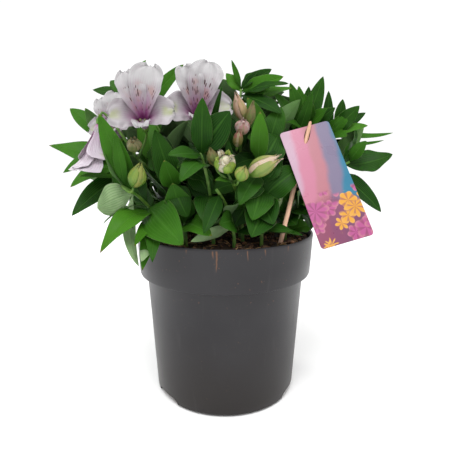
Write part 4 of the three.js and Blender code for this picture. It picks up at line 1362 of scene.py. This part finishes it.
def pot_finish(settings):
    """Dark moulded plastic with fine grain, faint upright scuffs, dried splashes at the rim, and a
    darker, warmer foot: a dusty tint with painted shade.
    """
    finish = Finish("pot_plastic")
    finish.put("Specular IOR Level", 0.32)
    place = finish.position()
    right, back, height = finish.parts(place)
    cloud = finish.noise(14, 4)
    upright = finish.node("Mapping", {"Vector": place, "Scale": (1.0, 1.0, 0.12)})
    scuff = finish.noise(170, 5, upright).span(0.62, 0.78)
    base = finish.mix(cloud.span(0.3, 0.7), settings.dark, settings.light)
    # Darker and warmer towards the bottom: a dusty tint, with painted shade in the darkening.
    base = base.under(settings.dusty_and_shade, (height + cloud * 0.05).span(0.12, 0.03))
    base = base.under(settings.scuff, scuff * 0.2)
    specks = finish.noise(420, 2).span(0.7, 0.76)
    splash = specks * height.span(0.02, 0.157, 0.15, 0.8)
    wobble = (finish.noise(130, 2) - 0.5) * 0.003
    front = back.span(0.0, -0.01)
    for across, bottom, width in DRIPS:
        drip = abs(right + wobble - across).span(width, 0.4 * width)
        drip = drip * height.span(bottom, bottom + 0.006) * height.span(0.1563, 0.155)
        splash = splash.larger(drip * front)
    base = base.under(settings.splash, splash * 0.7)
    roughness = cloud.span(0.3, 0.7, 0.34, 0.44) + splash * 0.3 + scuff * 0.12
    return finish.done(base, roughness, finish.noise(1400, 2) + splash * 1.5, 0.0001, 0.5)


def stick_finish(settings, axis):
    """Pale wood with long grain along the stick, and painted light on its lower, shaded part."""
    finish = Finish("stick_wood")
    place = finish.position()
    share = finish.vector("DOT_PRODUCT", place, axis, output="Value") * -0.95
    shift = finish.node("VectorMath", {0: axis, "Scale": share}, operation="SCALE")
    grain = finish.noise(1300, 4, finish.vector("ADD", place, shift), 0.4)
    cloud = finish.noise(90, 3)
    base = finish.mix(grain.span(0.35, 0.65), settings.wood, settings.grain)
    base = base.under(settings.stain, cloud.span(0.5, 0.8, 0.0, 0.35))
    height = finish.parts(place)[2]
    # Painted light: the wood is paler low down, where the leaves shade the stick.
    base = base.under(settings.wood_painted_light, height.span(0.23, 0.2, 0.0, 0.8))
    base = base.under(settings.stain, height.span(0.162, 0.15) * 0.25)
    return finish.done(base, grain.span(0.3, 0.7, 0.5, 0.7), grain, 0.0003, 0.7)


# The card's bands begin here across it, and each one blends into the next over this width
BAND_START = -0.3
BAND_STEP = 0.26
BAND_BLEND = 0.12
CARD_PROPORTION = 2.38
# Layers of blots on the card: how many fit across it, their lobes and where they end upwards
BLOT_LAYERS = [(3.0, 6.0, 0.47), (2.3, 5.0, 0.36), (1.8, 8.0, 0.42)]


def blots(finish, settings, across, along, layer):
    """Colour of a layer of round lobed blots, and where it shows."""
    count, lobe_count, top = layer
    grid = finish.joined(across * count, along * (CARD_PROPORTION * count))
    distance, pick, middle = finish.cells(grid, 0.6)
    x, y, _ = finish.parts(finish.vector("SUBTRACT", grid, middle))
    lobes = finish.math("COSINE", finish.math("ARCTAN2", y, x) * lobe_count)
    edge = distance - lobes * 0.045
    colour = finish.mix(pick.span(0.45, 0.55), settings.blot, settings.other_blot)
    colour = colour.under(settings.centre, edge.span(0.4, 0.54, 0.0, 0.22))
    colour = colour.under(settings.shade, lobes.span(0.1, -0.9) * 0.6)
    colour = colour.under(settings.shade, distance.span(0.2, 0.08))
    colour = colour.under(settings.centre, distance.span(0.1, 0.04))
    low = (along + pick * 0.12).span(top, top - 0.03)
    return colour, edge.span(0.54, 0.51) * low


def label_finish(settings):
    """Printed card: soft wavy bands, with scattered round blots in the lower third."""
    finish = Finish("label_print")
    across, along = finish.surface()
    wave = finish.math("SINE", along * 7.0 + 0.6)
    soft = finish.noise(2.2, 2, finish.joined(across, along * 2.0))
    place = across + (wave * 0.06 + along * -0.5) + (soft - 0.5) * 0.2
    bands = (settings.first, settings.second, settings.third, settings.fourth, settings.fifth)
    edge = BAND_START
    base = finish.mix(place.span(edge, edge + BAND_BLEND), bands[0], bands[1])
    for colour in bands[2:]:
        edge += BAND_STEP
        base = base.under(colour, place.span(edge, edge + BAND_BLEND))
    ground = (along + soft * 0.15).span(0.47, 0.36, 0.0, 0.85)
    base = base.under(settings.shade, ground)
    for layer in BLOT_LAYERS:
        base = base.under(*blots(finish, settings, across, along, layer))
    gleam = finish.noise(60, 3)
    return finish.done(base, gleam.span(0.3, 0.7, 0.26, 0.4), gleam, 0.0002, 0.3)


# Pot
def pot_profile():
    """Radius and height of the wall, from the middle of the base up the outside and down inside."""
    return [
        (0, 1.1),
        (BASE_RADIUS - 9, 1.1),
        (BASE_RADIUS - 6, 0.2),
        (BASE_RADIUS - 1.2, 0),
        (BASE_RADIUS - 0.3, 0.4),
        (WALL_FOOT_RADIUS - 0.3, 1.5),
        (WALL_FOOT_RADIUS + 0.1, 3.5),
        (WALL_FOOT_RADIUS + 0.5, 10),
        (WALL_FOOT_RADIUS + 2.1, 35),
        (WALL_TOP_RADIUS - 3, 75),
        (WALL_TOP_RADIUS - 0.1, BAND_FOOT - 1.3),
        (WALL_TOP_RADIUS + 0.5, BAND_FOOT - 0.3),
        (WALL_TOP_RADIUS + 1.6, BAND_FOOT),
        (BAND_FOOT_RADIUS - 1.8, BAND_FOOT + 0.1),
        (BAND_FOOT_RADIUS - 0.6, BAND_FOOT + 0.7),
        (BAND_FOOT_RADIUS, BAND_FOOT + 2.2),
        (BAND_FOOT_RADIUS + 1, BAND_FOOT + 19),
        (RIM_RADIUS - 0.3, POT_HEIGHT - 4),
        (RIM_RADIUS, POT_HEIGHT - 2.6),
        (RIM_RADIUS, POT_HEIGHT - 1.1),
        (RIM_RADIUS - 0.4, POT_HEIGHT - 0.3),
        (RIM_RADIUS - 1.1, POT_HEIGHT),
        (RIM_RADIUS - POT_WALL + 0.1, POT_HEIGHT - 0.3),
        (RIM_RADIUS - POT_WALL - 0.2, POT_HEIGHT - 1.2),
        (BAND_FOOT_RADIUS - POT_WALL, BAND_FOOT + 3),
        (WALL_TOP_RADIUS - POT_WALL, BAND_FOOT + POT_WALL),
        (WALL_FOOT_RADIUS - POT_WALL + 0.2, POT_FLOOR),
        (0, POT_FLOOR),
    ]


# Edge of a drain from its foot round over its top, as shares of its width and its height
DRAIN_OUTLINE = [
    (-0.5, -1), (0.5, -1), (0.5, 0.55), (0.42, 0.85),
    (0.28, 1), (-0.28, 1), (-0.42, 0.85), (-0.5, 0.55),
]


def drain_cutter():
    """The notches at the foot, as one mesh of boxes with slanted upper corners."""
    skin = Skin()
    outer = WALL_FOOT_RADIUS + 1.2
    for i in range(DRAIN_COUNT):
        angle = math.radians(90 + DRAIN_TURN + 360 * i / DRAIN_COUNT)
        out = np.array((math.cos(angle), math.sin(angle), 0))
        side = np.array((-out[1], out[0], 0))
        ring = [side * x * DRAIN_WIDTH + UP * z * DRAIN_HEIGHT for x, z in DRAIN_OUTLINE]
        near, far = np.array(ring) + out * (outer - DRAIN_DEPTH), np.array(ring) + out * outer
        ends = [np.tile(points.mean(axis=0), (len(ring), 1)) for points in (near, far)]
        skin.tube(np.array([ends[0], near, far, ends[1]]))
    return skin.build("drain_cutter", [])


def pot_piece(sides, materials):
    """The pot's wall, with the drains cut out of its foot."""
    skin = Skin()
    turned(skin, pot_profile(), sides, (0, 0, 0), UP)
    piece = skin.build("pot_shell", materials)
    cutter = drain_cutter()
    modifier = piece.modifiers.new("drains", "BOOLEAN")
    modifier.operation = "DIFFERENCE"
    modifier.solver = "EXACT"
    modifier.object = cutter
    bpy.context.view_layer.update()
    shape = piece.evaluated_get(bpy.context.evaluated_depsgraph_get())
    mesh = bpy.data.meshes.new_from_object(shape)
    piece.modifiers.clear()
    piece.data = mesh
    mesh.name = piece.name
    bpy.data.objects.remove(cutter)
    mesh.set_sharp_from_angle(angle=math.radians(SHARP_POT_ANGLE))
    settle(piece, "pot", "pot")


# Soil
def soil_height(x, y):
    """Height of the gently uneven soil at a place."""
    waves = np.sin(x * 0.11 + 1.3) * np.cos(y * 0.13) + 0.6 * np.sin(x * 0.23 - y * 0.19)
    return SOIL_LEVEL + SOIL_HUMP * waves


def soil_side():
    """Radius and height of the fill along the inside of the pot, from the floor upwards."""
    inside = POT_WALL + FIT_GAP
    return [
        (0, POT_FLOOR + FIT_GAP),
        (WALL_FOOT_RADIUS - inside, POT_FLOOR + FIT_GAP),
        (WALL_TOP_RADIUS - inside - 0.1, BAND_FOOT + inside),
        (BAND_FOOT_RADIUS - inside - 0.2, BAND_FOOT + 3.4),
        (RIM_RADIUS - POT_WALL - 1.4, SOIL_LEVEL - 4),
    ]


def add_ground(skin, random):
    """The fill itself, with an uneven top that sinks a little at its edge."""
    angles = np.linspace(0, FULL_TURN, SOIL_SIDES, endpoint=False)
    circle = np.stack([np.cos(angles), np.sin(angles), np.zeros(SOIL_SIDES)], -1)
    rows = [radius * circle + height * UP for radius, height in soil_side()]
    for radius in (SOIL_EDGE + 3.3, SOIL_EDGE + 2, *np.linspace(SOIL_EDGE, 0, SOIL_ROWS)):
        row = radius * circle
        height = soil_height(row[:, 0], row[:, 1])
        rough = SOIL_ROUGHNESS * (random.random(SOIL_SIDES) - 0.55) * min(1, radius / 30)
        edge = smooth_step(radius, SOIL_EDGE, SOIL_EDGE + 3.7)
        row[:, 2] = height * (1 - edge) + (SOIL_LEVEL - SOIL_EDGE_DROP) * edge + rough
        rows.append(row)
    rows[-1] = np.tile(rows[-1].mean(axis=0), (SOIL_SIDES, 1))
    skin.tube(np.array(rows))


LUMP_SIDES = 6
LUMP_LEVELS = np.array((-0.36, -0.14, 0.14, 0.36))[:, None]


def add_lump(skin, centre, size, random, tone):
    """An uneven crumb."""
    radii = 0.5 * size * (0.75 + 0.5 * random.random((4, LUMP_SIDES)))
    angles = np.linspace(0, FULL_TURN, LUMP_SIDES, endpoint=False) + random.random((4, 1))
    waist = np.sqrt(1 - (2 * LUMP_LEVELS) ** 2)
    x = radii * waist * np.cos(angles) * (0.8 + 0.5 * random.random())
    y = radii * waist * np.sin(angles)
    z = size * LUMP_LEVELS * (0.7 + 0.4 * random.random()) + np.zeros_like(x)
    turn = unit(random.random(3) - 0.5)
    rings = np.stack([x, y, z], -1) @ np.array([*sides_of(turn), turn])
    ends = [np.tile(ring.mean(axis=0) * 1.3, (LUMP_SIDES, 1)) for ring in (rings[0], rings[-1])]
    skin.tube(np.array([ends[0], *rings, ends[1]]) + centre, 1, (tone, 0, 0))


def add_fibre(skin, spot, random):
    """A loose bent fibre that lies on the soil."""
    length = between(FIBRE_LENGTH, random.random())
    turn = FULL_TURN * random.random()
    along = np.array((math.cos(turn), math.sin(turn), 0.5 * (random.random() - 0.4)))
    bend = np.cross(along, UP) * (random.random() - 0.5) * length * 0.6
    start = spot - along * length / 2 + UP * 0.5
    end = spot + along * length / 2 + UP * 0.7
    middle = spot + bend + UP * (0.8 + 1.4 * random.random())
    curve = curve_points(start, middle, end, FIBRE_ROWS)
    radii = between(FIBRE_RADIUS, random.random()) * np.linspace(1, 0.4, FIBRE_ROWS)
    rod(skin, curve, radii, FIBRE_SIDES, 2, (random.random(), 0, 0))


def on_soil(random, reach):
    """A random place on the soil."""
    angle = FULL_TURN * random.random()
    radius = reach * math.sqrt(random.random())
    x, y = radius * math.cos(angle), radius * math.sin(angle)
    return np.array((x, y, soil_height(x, y)))


def soil_piece(crumbs, fibres, materials):
    """The peat with its loose crumbs and fibres."""
    random = np.random.default_rng(SOIL_SEED)
    skin = Skin()
    add_ground(skin, random)
    for _ in range(crumbs):
        size = between(CRUMB_SIZE, random.random() ** 2.5)
        centre = on_soil(random, CRUMB_REACH) + UP * 0.15 * size
        add_lump(skin, centre, size, random, random.random())
    for _ in range(fibres):
        add_fibre(skin, on_soil(random, FIBRE_REACH), random)
    piece = skin.build("soil_crumbs", materials)
    settle(piece, "soil", "soil")


# Label and stick
def label_axes():
    """Right, upper and face direction of the card."""
    lean, roll = math.radians(90 - LABEL_LEAN), math.radians(LABEL_ROLL)
    a, b = math.cos(lean), math.sin(lean)
    tilt = np.array(((1, 0, 0), (0, a, -b), (0, b, a)))
    a, b = math.cos(roll), math.sin(roll)
    turn = np.array(((a, -b, 0), (b, a, 0), (0, 0, 1)))
    return (tilt @ turn).T


def slot_centre():
    return LABEL_CENTRE + label_axes()[1] * (LABEL_HEIGHT / 2 - SLOT_DROP)


def stick_line():
    """Axis, lower end and length of the stick."""
    foot = np.array((*STICK_FOOT, SOIL_LEVEL), float)
    axis = unit(slot_centre() - foot)
    bottom = foot - axis * STICK_DEPTH
    return axis, bottom, np.linalg.norm(slot_centre() + axis * STICK_ABOVE - bottom)


CORNER_STEPS = 9
EDGE_STEPS = 22


def card_outline():
    """The card's edge, point by point, from its right side over the top and round."""
    x, y = LABEL_WIDTH / 2 - LABEL_CORNER, LABEL_HEIGHT / 2 - LABEL_CORNER
    arcs = []
    for i, corner in enumerate([(x, y), (-x, y), (-x, -y), (x, -y)]):
        angles = np.linspace(i, i + 1, CORNER_STEPS) * math.pi / 2
        arcs.append(corner + LABEL_CORNER * np.stack([np.cos(angles), np.sin(angles)], -1))
    shares = np.linspace(0, 1, EDGE_STEPS)[1:-1, None]
    points = []
    for arc, following in zip(arcs, [*arcs[1:], arcs[0]]):
        points += [arc, arc[-1] + (following[0] - arc[-1]) * shares]
    return np.concatenate(points)


def slot_outline(outline):
    """The slot's edge, with a point for each one of the card's edge as seen from the slot."""
    right, upper, _ = label_axes()
    along = stick_line()[0]
    slant = math.atan2(along.dot(upper), along.dot(right))
    angles = np.arctan2(outline[:, 1], outline[:, 0]) - slant
    a, b = SLOT_LENGTH / 2, SLOT_WIDTH / 2
    radius = a * b / np.hypot(b * np.cos(angles), a * np.sin(angles))
    return np.stack([np.cos(angles + slant), np.sin(angles + slant)], -1) * radius[:, None]


def lay_print(mesh):
    """Spreads the print over the card, from 0 to 1 each way."""
    right, upper, _ = label_axes()
    corners = np.empty(len(mesh.loops), int)
    mesh.loops.foreach_get("vertex_index", corners)
    places = np.empty(3 * len(mesh.vertices))
    mesh.vertices.foreach_get("co", places)
    places = places.reshape(-1, 3)[corners] / MM - LABEL_CENTRE
    flat = np.stack([places @ right / LABEL_WIDTH, places @ upper / LABEL_HEIGHT], -1) + 0.5
    mesh.uv_layers["UVMap"].data.foreach_set("uv", flat.ravel())


def label_piece(materials):
    """The card: both faces, its rounded rim and the slot, as rings of points about the slot."""
    right, upper, face = label_axes()
    outline = card_outline() - (0, LABEL_HEIGHT / 2 - SLOT_DROP)
    slot = slot_outline(outline)
    half, edge = LABEL_THICKNESS / 2, LABEL_THICKNESS / 2 - LABEL_BEVEL
    reach = np.linalg.norm(outline - slot, axis=1)[:, None]
    bevel = (slot - outline) / reach * LABEL_BEVEL
    shares = (0, 0.02, 0.1, 0.3, 0.6, 0.9, 1)
    front = [(slot - bevel + (outline + 2 * bevel - slot) * share, half) for share in shares]
    rim = [(outline, edge), (outline, -edge)]
    back = [(points, -half) for points, _ in reversed(front)]
    hole = [(slot, -edge), (slot, edge)]
    rows = []
    for points, height in [*front, *rim, *back, *hole, front[0]]:
        rows.append(slot_centre() + points[:, :1] * right + points[:, 1:] * upper + height * face)
    skin = Skin()
    skin.tube(np.array(rows))
    piece = skin.build("label_card", materials)
    lay_print(piece.data)
    piece.data.set_sharp_from_angle(angle=math.radians(SHARP_LABEL_ANGLE))
    settle(piece, "label", "label")


def stick_piece(materials):
    """The round wooden stick, a little uneven, with a thinner upper end."""
    axis, bottom, length = stick_line()
    profile = [(0, 0), (1.1, 0), (1.5, 1), (STICK_RADIUS, 3)]
    profile += [(STICK_RADIUS, h) for h in np.linspace(12, length - STICK_TIP_LENGTH, 12)]
    profile += [(STICK_TIP_RADIUS + 0.5, length - 5), (STICK_TIP_RADIUS + 0.2, length - 1.2)]
    profile += [(STICK_TIP_RADIUS - 0.1, length - 0.3), (STICK_TIP_RADIUS - 0.4, length), (0, length)]

    def uneven(angles):
        return 1 + 0.015 * np.sin(3 * angles) + 0.01 * np.sin(7 * angles)

    skin = Skin()
    turned(skin, profile, STICK_SIDES, bottom, axis, swell=uneven)
    piece = skin.build("stick_wood_rod", materials)
    settle(piece, "stick", "label_stick")


# Settings
def colour(name, description, default):
    return FloatVectorProperty(
        name=name, description=description, default=default, subtype="COLOR", size=3, min=0, max=1)


class LilyLeafSettings(bpy.types.PropertyGroup):
    dark: colour("Dark green", "Shaded parts of a leaf", (0.006, 0.030, 0.003))
    light: colour("Light green", "Lighter parts of a leaf", (0.042, 0.150, 0.009))
    fresh: colour("Fresh green", "Young leaves", (0.07, 0.20, 0.012))
    vein: colour("Vein", "Veins and midrib", (0.065, 0.18, 0.026))
    margin: colour("Margin", "Thin edge of a leaf", (0.17, 0.28, 0.09))
    dry: colour("Dry tip", "Withered tip of some leaves", (0.20, 0.15, 0.04))
    underside: colour("Underside", "Lower face of a leaf", (0.30, 0.42, 0.22))
    stem: colour("Stem", "Upper part of a stem", (0.13, 0.24, 0.035))
    stem_foot: colour("Stem foot", "Lower part of a stem", (0.09, 0.09, 0.035))


class LilyFlowerSettings(bpy.types.PropertyGroup):
    petal: colour("Petal", "Main colour of a petal", (0.365, 0.358, 0.362))
    # Painted light: a paler outer face, where the petals lie in shade.
    petal_back_painted_light: colour("Petal back", "Outer face of a petal", (0.50, 0.44, 0.50))
    petal_shade: colour("Petal shade", "Clouds on a petal", (0.29, 0.25, 0.275))
    petal_vein: colour("Petal vein", "Fine veins of a petal", (0.28, 0.11, 0.24))
    blush: colour("Blush", "Around the throat", (0.38, 0.17, 0.32))
    throat: colour("Throat", "Deep in the flower", (0.25, 0.03, 0.18))
    warm: colour("Warm blush", "Between the dashes", (0.38, 0.19, 0.15))
    patch: colour("Patch", "Near the tips of the outer petals", (0.25, 0.29, 0.09))
    point: colour("Point", "Dark tip of the outer petals", (0.04, 0.07, 0.02))
    dash: colour("Dash", "Dark dashes of the inner petals", (0.05, 0.008, 0.014))
    filament: colour("Filament", "Stamens and style", (0.26, 0.06, 0.18))
    anther: colour("Anther", "Ends of the stamens", (0.09, 0.06, 0.06))


class LilyPotSettings(bpy.types.PropertyGroup):
    dark: colour("Dark plastic", "Darker parts of the pot", (0.014, 0.013, 0.0155))
    light: colour("Light plastic", "Lighter parts of the pot", (0.021, 0.020, 0.0225))
    # A dusty tint with painted shade, darker towards the bottom of the pot.
    dusty_and_shade: colour("Dusty plastic", "Lower part of the pot", (0.013, 0.0102, 0.0095))
    scuff: colour("Scuff", "Faint upright scuffs", (0.07, 0.066, 0.066))
    splash: colour("Splash", "Dried splashes below the rim", (0.16, 0.08, 0.045))
    sides: IntProperty(name="Sides", description="Steps round the pot", default=144, min=48, max=256)


class LilySoilSettings(bpy.types.PropertyGroup):
    ground: colour("Peat", "Main colour of the peat", (0.024, 0.012, 0.009))
    ground_light: colour("Dry peat", "Drier parts of the peat", (0.07, 0.038, 0.024))
    crumb: colour("Crumb", "Loose crumbs", (0.036, 0.018, 0.012))
    crumb_light: colour("Light crumb", "Pale crumbs", (0.20, 0.10, 0.048))
    fibre: colour("Fibre", "Dark fibres", (0.15, 0.07, 0.025))
    fibre_light: colour("Light fibre", "Golden fibres", (0.52, 0.31, 0.13))
    crumbs: IntProperty(
        name="Crumbs", description="Number of loose crumbs", default=900, min=0, max=3000)
    fibres: IntProperty(
        name="Fibres", description="Number of loose fibres", default=260, min=0, max=800)


class LilyLabelSettings(bpy.types.PropertyGroup):
    first: colour("First band", "Left edge of the card", (0.38, 0.23, 0.31))
    second: colour("Second band", "Next to the left edge", (0.40, 0.125, 0.20))
    third: colour("Third band", "Middle of the card", (0.34, 0.12, 0.15))
    fourth: colour("Fourth band", "Right of the middle", (0.14, 0.115, 0.19))
    fifth: colour("Fifth band", "Right edge of the card", (0.004, 0.13, 0.22))
    blot: colour("Blot", "Round blots", (0.34, 0.06, 0.19))
    other_blot: colour("Other blot", "Every other round blot", (0.55, 0.25, 0.015))
    shade: colour("Blot shade", "Between the lobes of a blot", (0.16, 0.02, 0.07))
    centre: colour("Blot centre", "Middle of a blot", (0.60, 0.42, 0.18))
    wood: colour("Wood", "Main colour of the stick", (0.66, 0.39, 0.26))
    # Painted light on the lower, shaded part of the stick.
    wood_painted_light: colour("Pale wood", "Lower part of the stick", (0.95, 0.60, 0.42))
    grain: colour("Grain", "Darker grain of the stick", (0.48, 0.27, 0.17))
    stain: colour("Stain", "Stained parts of the stick", (0.30, 0.16, 0.09))


class LilyStageSettings(bpy.types.PropertyGroup):
    floor_size: FloatProperty(
        name="Floor size", description="Width of the floor", default=6, min=1, max=20,
        subtype="DISTANCE", unit="LENGTH")
    floor: colour("Floor", "Colour of the floor", (0.99, 0.99, 0.99))
    surround: colour("Surround", "Light from all around", (1.0, 1.0, 1.0))
    brightness: FloatProperty(
        name="Brightness", description="Strength of the light from all around", default=1.05,
        min=0, max=5)
    key: FloatProperty(
        name="Key light", description="Power of the light from the front above", default=26,
        min=0, max=500, subtype="POWER", unit="POWER")
    fill: FloatProperty(
        name="Fill light", description="Power of the left light; the right one is weaker",
        default=6.5, min=0, max=500, subtype="POWER", unit="POWER")
    lens: FloatProperty(
        name="Lens", description="Focal length of the camera", default=33.2, min=10, max=200,
        subtype="DISTANCE_CAMERA", unit="CAMERA")


class LilySettings(bpy.types.PropertyGroup):
    leaf: PointerProperty(name="Leaves", description="Leaves and stems", type=LilyLeafSettings)
    flower: PointerProperty(name="Flowers", description="Open flowers", type=LilyFlowerSettings)
    pot: PointerProperty(name="Pot", description="Nursery pot", type=LilyPotSettings)
    soil: PointerProperty(name="Soil", description="Peat in the pot", type=LilySoilSettings)
    label: PointerProperty(name="Label", description="Card and its stick", type=LilyLabelSettings)
    stage: PointerProperty(name="Stage", description="Floor, lights and camera", type=LilyStageSettings)


# Foot, body and tip colours of a bud's outer petals, and the colour of its inner ones
BUD_TINTS = {
    "green": ((0.06, 0.17, 0.012), (0.16, 0.26, 0.028), (0.22, 0.27, 0.055), (0.28, 0.28, 0.075)),
    "yellow": ((0.06, 0.16, 0.011), (0.15, 0.22, 0.024), (0.21, 0.20, 0.04), (0.21, 0.23, 0.045)),
    "brown": ((0.05, 0.12, 0.015), (0.15, 0.17, 0.04), (0.33, 0.29, 0.13), (0.32, 0.28, 0.14)),
    "tan": ((0.17, 0.20, 0.05), (0.40, 0.26, 0.14), (0.36, 0.17, 0.12), (0.48, 0.32, 0.24)),
    "olive": ((0.055, 0.11, 0.012), (0.12, 0.14, 0.028), (0.17, 0.11, 0.045), (0.17, 0.14, 0.045)),
    "pink": ((0.17, 0.22, 0.07), (0.42, 0.25, 0.21), (0.42, 0.20, 0.20), (0.48, 0.35, 0.32)),
    "wilted": ((0.08, 0.13, 0.025), (0.21, 0.17, 0.045), (0.36, 0.09, 0.10), (0.40, 0.32, 0.19)),
    "opening": ((0.08, 0.19, 0.015), (0.22, 0.34, 0.045), (0.26, 0.35, 0.055), (0.56, 0.50, 0.38)),
    "cream": ((0.09, 0.18, 0.018), (0.20, 0.25, 0.05), (0.34, 0.28, 0.11), (0.50, 0.38, 0.28)),
}


# Operators
class LILY_OT_pot(bpy.types.Operator):
    """Make the thin-walled pot with its rim band and its drains"""
    bl_idname = "lily.make_pot"
    bl_label = "Pot"
    bl_options = {"REGISTER", "UNDO"}

    def execute(self, context):
        settings = context.scene.lily.pot
        pot_piece(settings.sides, [pot_finish(settings)])
        return {"FINISHED"}


class LILY_OT_soil(bpy.types.Operator):
    """Fill the pot with peat, crumbs and fibres"""
    bl_idname = "lily.make_soil"
    bl_label = "Soil"
    bl_options = {"REGISTER", "UNDO"}

    def execute(self, context):
        soil = context.scene.lily.soil
        ground = plain_finish("soil_peat", soil.ground, soil.ground_light, 260, 0.85)
        crumb = plain_finish("soil_crumb", soil.crumb, soil.crumb_light, 500, 0.8)
        fibre = plain_finish("soil_fibre", soil.fibre, soil.fibre_light, 400, 0.65)
        soil_piece(soil.crumbs, soil.fibres, [ground, crumb, fibre])
        return {"FINISHED"}


class LILY_OT_label(bpy.types.Operator):
    """Make the card and the wooden stick through its slot"""
    bl_idname = "lily.make_label"
    bl_label = "Label and stick"
    bl_options = {"REGISTER", "UNDO"}

    def execute(self, context):
        settings = context.scene.lily.label
        label_piece([label_finish(settings)])
        stick_piece([stick_finish(settings, tuple(stick_line()[0]))])
        return {"FINISHED"}


class LILY_OT_shoots(bpy.types.Operator):
    """Make every stem with its leaves"""
    bl_idname = "lily.make_shoots"
    bl_label = "Stems and leaves"
    bl_options = {"REGISTER", "UNDO"}

    def execute(self, context):
        settings = context.scene.lily.leaf
        materials = [leaf_finish(settings), stem_finish(settings)]
        shoots = [*SHOOTS, *fill_shoots()]
        leaves = found_leaves(shoots)
        small_leaves = gap_leaves(shoots)
        for seed, stem in enumerate(shoots, LEAF_SEED):
            shoot_piece(stem, leaves[stem.name], small_leaves[stem.name], seed, materials)
        return {"FINISHED"}


class LILY_OT_blooms(bpy.types.Operator):
    """Make the open flowers"""
    bl_idname = "lily.make_blooms"
    bl_label = "Flowers"
    bl_options = {"REGISTER", "UNDO"}

    def execute(self, context):
        flower = context.scene.lily.flower
        tepal = tepal_finish(flower)
        filament = plain_finish("lily_filament", flower.filament, flower.petal, 300, 0.5)
        anther = plain_finish("lily_anther", flower.anther, flower.patch, 900, 0.7)
        for bloom in BLOOMS:
            bloom_piece(bloom, [tepal, filament, anther])
        return {"FINISHED"}


class LILY_OT_buds(bpy.types.Operator):
    """Make the closed and the half open buds"""
    bl_idname = "lily.make_buds"
    bl_label = "Buds"
    bl_options = {"REGISTER", "UNDO"}

    def execute(self, context):
        finishes = {tint: bud_finish(tint, *colours) for tint, colours in BUD_TINTS.items()}
        for bud in BUDS:
            bud_piece(bud, [finishes[bud.tint]])
        return {"FINISHED"}


class LILY_OT_stage(bpy.types.Operator):
    """Lay the floor and set up the lights and the camera"""
    bl_idname = "lily.make_stage"
    bl_label = "Stage"
    bl_options = {"REGISTER", "UNDO"}

    def execute(self, context):
        stage = context.scene.lily.stage
        context.scene.view_settings.view_transform = "Standard"
        make_floor(stage)
        make_surround(stage)
        across, back, up = SIDE_PLACE
        add_light("key", KEY_PLACE, KEY_SIZE, stage.key)
        add_light("right", (across, back, up), SIDE_SIZE, RIGHT_SHARE * stage.fill)
        add_light("left", (-across, back, up), SIDE_SIZE, stage.fill)
        make_camera(stage)
        return {"FINISHED"}


def make_floor(stage):
    """A flat floor just below the pot."""
    shares = np.linspace(0, 1, FLOOR_STEPS)
    x, y = np.meshgrid(shares - 0.5, shares - 0.5)
    width = stage.floor_size / MM
    skin = Skin()
    skin.grid(np.stack([x * width, y * width, np.full_like(x, FLOOR_HEIGHT / MM)], -1), shares, shares)
    floor = skin.build("floor", [plain_finish("floor_matt", stage.floor, stage.floor, 3, 0.7)])


def make_surround(stage):
    """Even light from all around."""
    world = bpy.data.worlds.new("surround")
    world.use_nodes = True
    background = world.node_tree.nodes["Background"]
    background.inputs["Color"].default_value = (*stage.surround, 1.0)
    background.inputs["Strength"].default_value = stage.brightness
    bpy.context.scene.world = world


def add_light(name, place, size, power):
    """A soft light that faces the middle of the plant."""
    data = bpy.data.lights.new(name, "AREA")
    data.shape = "RECTANGLE"
    data.size, data.size_y = size
    data.energy = power
    light = bpy.data.objects.new(name, data)
    light.visible_camera = False
    light.location = place
    aim = Vector(AIM) - Vector(place)
    light.rotation_euler = aim.to_track_quat("-Z", "Y").to_euler()
    bpy.context.scene.collection.objects.link(light)


def make_camera(stage):
    """The camera in front, tipped down a little."""
    data = bpy.data.cameras.new("camera")
    data.lens = stage.lens
    camera = bpy.data.objects.new("camera", data)
    camera.location = CAMERA_PLACE
    camera.rotation_euler = (math.pi / 2 - CAMERA_PITCH, 0, 0)
    bpy.context.scene.collection.objects.link(camera)
    bpy.context.scene.camera = camera


class LILY_PT_panel(bpy.types.Panel):
    """Lists the steps that build the plant"""
    bl_idname = "LILY_PT_panel"
    bl_label = "Potted peruvian lily"
    bl_space_type = "VIEW_3D"
    bl_region_type = "UI"
    bl_category = "Lily"

    def draw(self, context):
        for operator in OPERATORS:
            self.layout.operator(operator.bl_idname, text=operator.bl_label)


OPERATORS = (
    LILY_OT_stage,
    LILY_OT_pot,
    LILY_OT_soil,
    LILY_OT_label,
    LILY_OT_shoots,
    LILY_OT_blooms,
    LILY_OT_buds,
)
GROUPS = (
    LilyLeafSettings,
    LilyFlowerSettings,
    LilyPotSettings,
    LilySoilSettings,
    LilyLabelSettings,
    LilyStageSettings,
    LilySettings,
)
CLASSES = (*GROUPS, *OPERATORS, LILY_PT_panel)


def register():
    for item in CLASSES:
        bpy.utils.register_class(item)
    bpy.types.Scene.lily = PointerProperty(
        name="Lily", description="Settings of the potted peruvian lily", type=LilySettings)


def unregister():
    del bpy.types.Scene.lily
    for item in reversed(CLASSES):
        bpy.utils.unregister_class(item)


def main():
    """Builds everything by its operators."""
    register()
    bpy.ops.lily.make_stage()
    bpy.ops.lily.make_pot()
    bpy.ops.lily.make_soil()
    bpy.ops.lily.make_label()
    bpy.ops.lily.make_shoots()
    bpy.ops.lily.make_blooms()
    bpy.ops.lily.make_buds()


if __name__ == "__main__":
    main()
